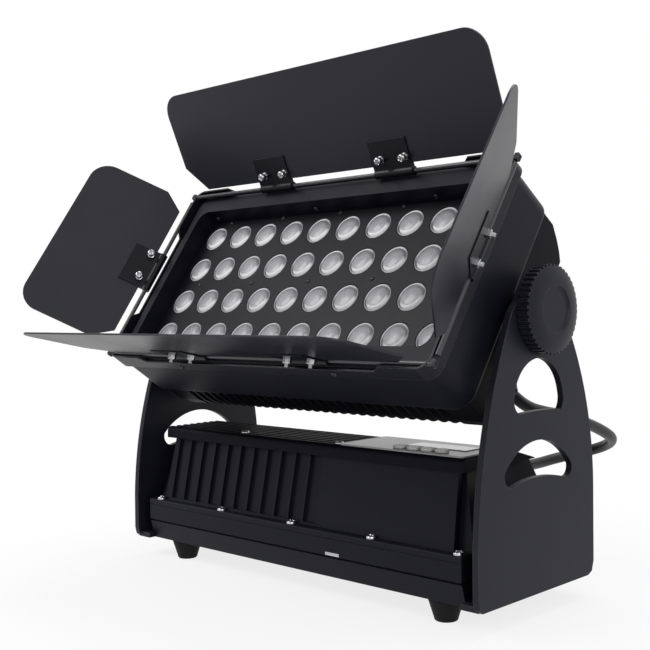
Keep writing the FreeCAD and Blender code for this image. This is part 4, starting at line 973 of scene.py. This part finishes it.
def makeFrameScrews():
    # two on the frame's left side, and two on its top and on its bottom
    screws = []
    for index, up in enumerate(frameScrews["up"]):
        spot = (-frameScrews["side"], -frameScrews["front"], up)
        screws.append((headPlace @ facing(spot, (-1, 0, 0), index), frameScrews))
    for sign in (-1, 1):
        for index, across in enumerate(frameScrews["across"]):
            spot = (across, -frameScrews["front"], sign * frameScrews["end"])
            screws.append((headPlace @ facing(spot, (0, 0, sign), index), frameScrews))
    makeScrewSet("frame_screws", screws, "darkSteel", "head")


makeLensPlateScrews()
makeBaseScrews()
makeSeamTab()
makeLidScrews()
makeFrameScrews()
print("screws made")


# Studio
studio = {
    "floorRings": (1.0, 6.0), "floorAround": 64, "floorColour": (0.86, 0.86, 0.86, 1),
    "fadeBetween": (0.45, 1.1), "fadeStart": 0.8, "sky": 0.55,
    "boxes": [
        {"name": "key_box", "place": (-1.3, -1.6, 1.9), "size": (1.4, 1.2), "power": 34.0},
        {"name": "fill_box", "place": (1.9, -0.9, 0.9), "size": (1.2, 1.4), "power": 14.0},
        {"name": "top_box", "place": (0.1, 0.5, 2.2), "size": (1.6, 1.6), "power": 22.0},
    ],
    "aim": (0.0, 0.0, 0.2),
}


def seenRays(tree):
    # 1 for rays that show the backdrop: camera, glossy and transmission rays
    rays = addNode(tree, "ShaderNodeLightPath").outputs
    indirect = calculate(tree, "MAXIMUM", rays["Is Glossy Ray"], rays["Is Transmission Ray"])
    return calculate(tree, "MAXIMUM", rays["Is Camera Ray"], indirect)


def makeFloorPaper():
    # pale paper that takes the lamp's shadow and turns white away from it
    material = bpy.data.materials.new("floorPaper")
    material.use_nodes = True
    tree = material.node_tree
    tree.nodes.clear()
    paper = addNode(tree, "ShaderNodeBsdfDiffuse", Color=studio["floorColour"])
    glow = addNode(tree, "ShaderNodeEmission", Color=(1, 1, 1, 1), Strength=1.0)
    place = addNode(tree, "ShaderNodeNewGeometry").outputs["Position"]
    away = vectorMath(tree, "LENGTH", i0=place)["Value"]
    fade = spread(tree, away, studio["fadeBetween"], (studio["fadeStart"], 1.0))
    mixed = addNode(tree, "ShaderNodeMixShader", i0=calculate(tree, "MULTIPLY", seenRays(tree), fade),
                    i1=paper.outputs[0], i2=glow.outputs[0])
    out = tree.nodes.new("ShaderNodeOutputMaterial")
    tree.links.new(mixed.outputs[0], out.inputs[0])
    return material


def makeFloor():
    bm = bmesh.new()
    rings = [(0, 0)] + [(radius, 0) for radius in studio["floorRings"]]
    addLathe(bm, rings, Matrix.Translation((0, 0, cadBox[0][2])), studio["floorAround"])
    floor = makeObject("floor", bm)
    floor.data.materials.append(makeFloorPaper())


def makeSky():
    world = bpy.data.worlds.new("studio")
    scene.world = world
    world.use_nodes = True
    tree = world.node_tree
    tree.nodes.clear()
    strength = spread(tree, seenRays(tree), (0.0, 1.0), (studio["sky"], 1.0))
    sky = addNode(tree, "ShaderNodeBackground", Color=(1, 1, 1, 1), Strength=strength)
    out = tree.nodes.new("ShaderNodeOutputWorld")
    tree.links.new(sky.outputs[0], out.inputs[0])


def makeLights():
    for box in studio["boxes"]:
        data = bpy.data.lights.new(box["name"], "AREA")
        data.shape = "RECTANGLE"
        data.size, data.size_y = box["size"]
        data.energy = box["power"]
        lamp = bpy.data.objects.new(box["name"], data)
        scene.collection.objects.link(lamp)
        way = Vector(studio["aim"]) - Vector(box["place"])
        turn = way.to_track_quat("-Z", "Y").to_matrix().to_4x4()
        lamp.matrix_world = Matrix.Translation(box["place"]) @ turn
        lamp.visible_camera = False


makeFloor()
makeSky()
makeLights()
scene.view_settings.view_transform = "Standard"
print("studio made")
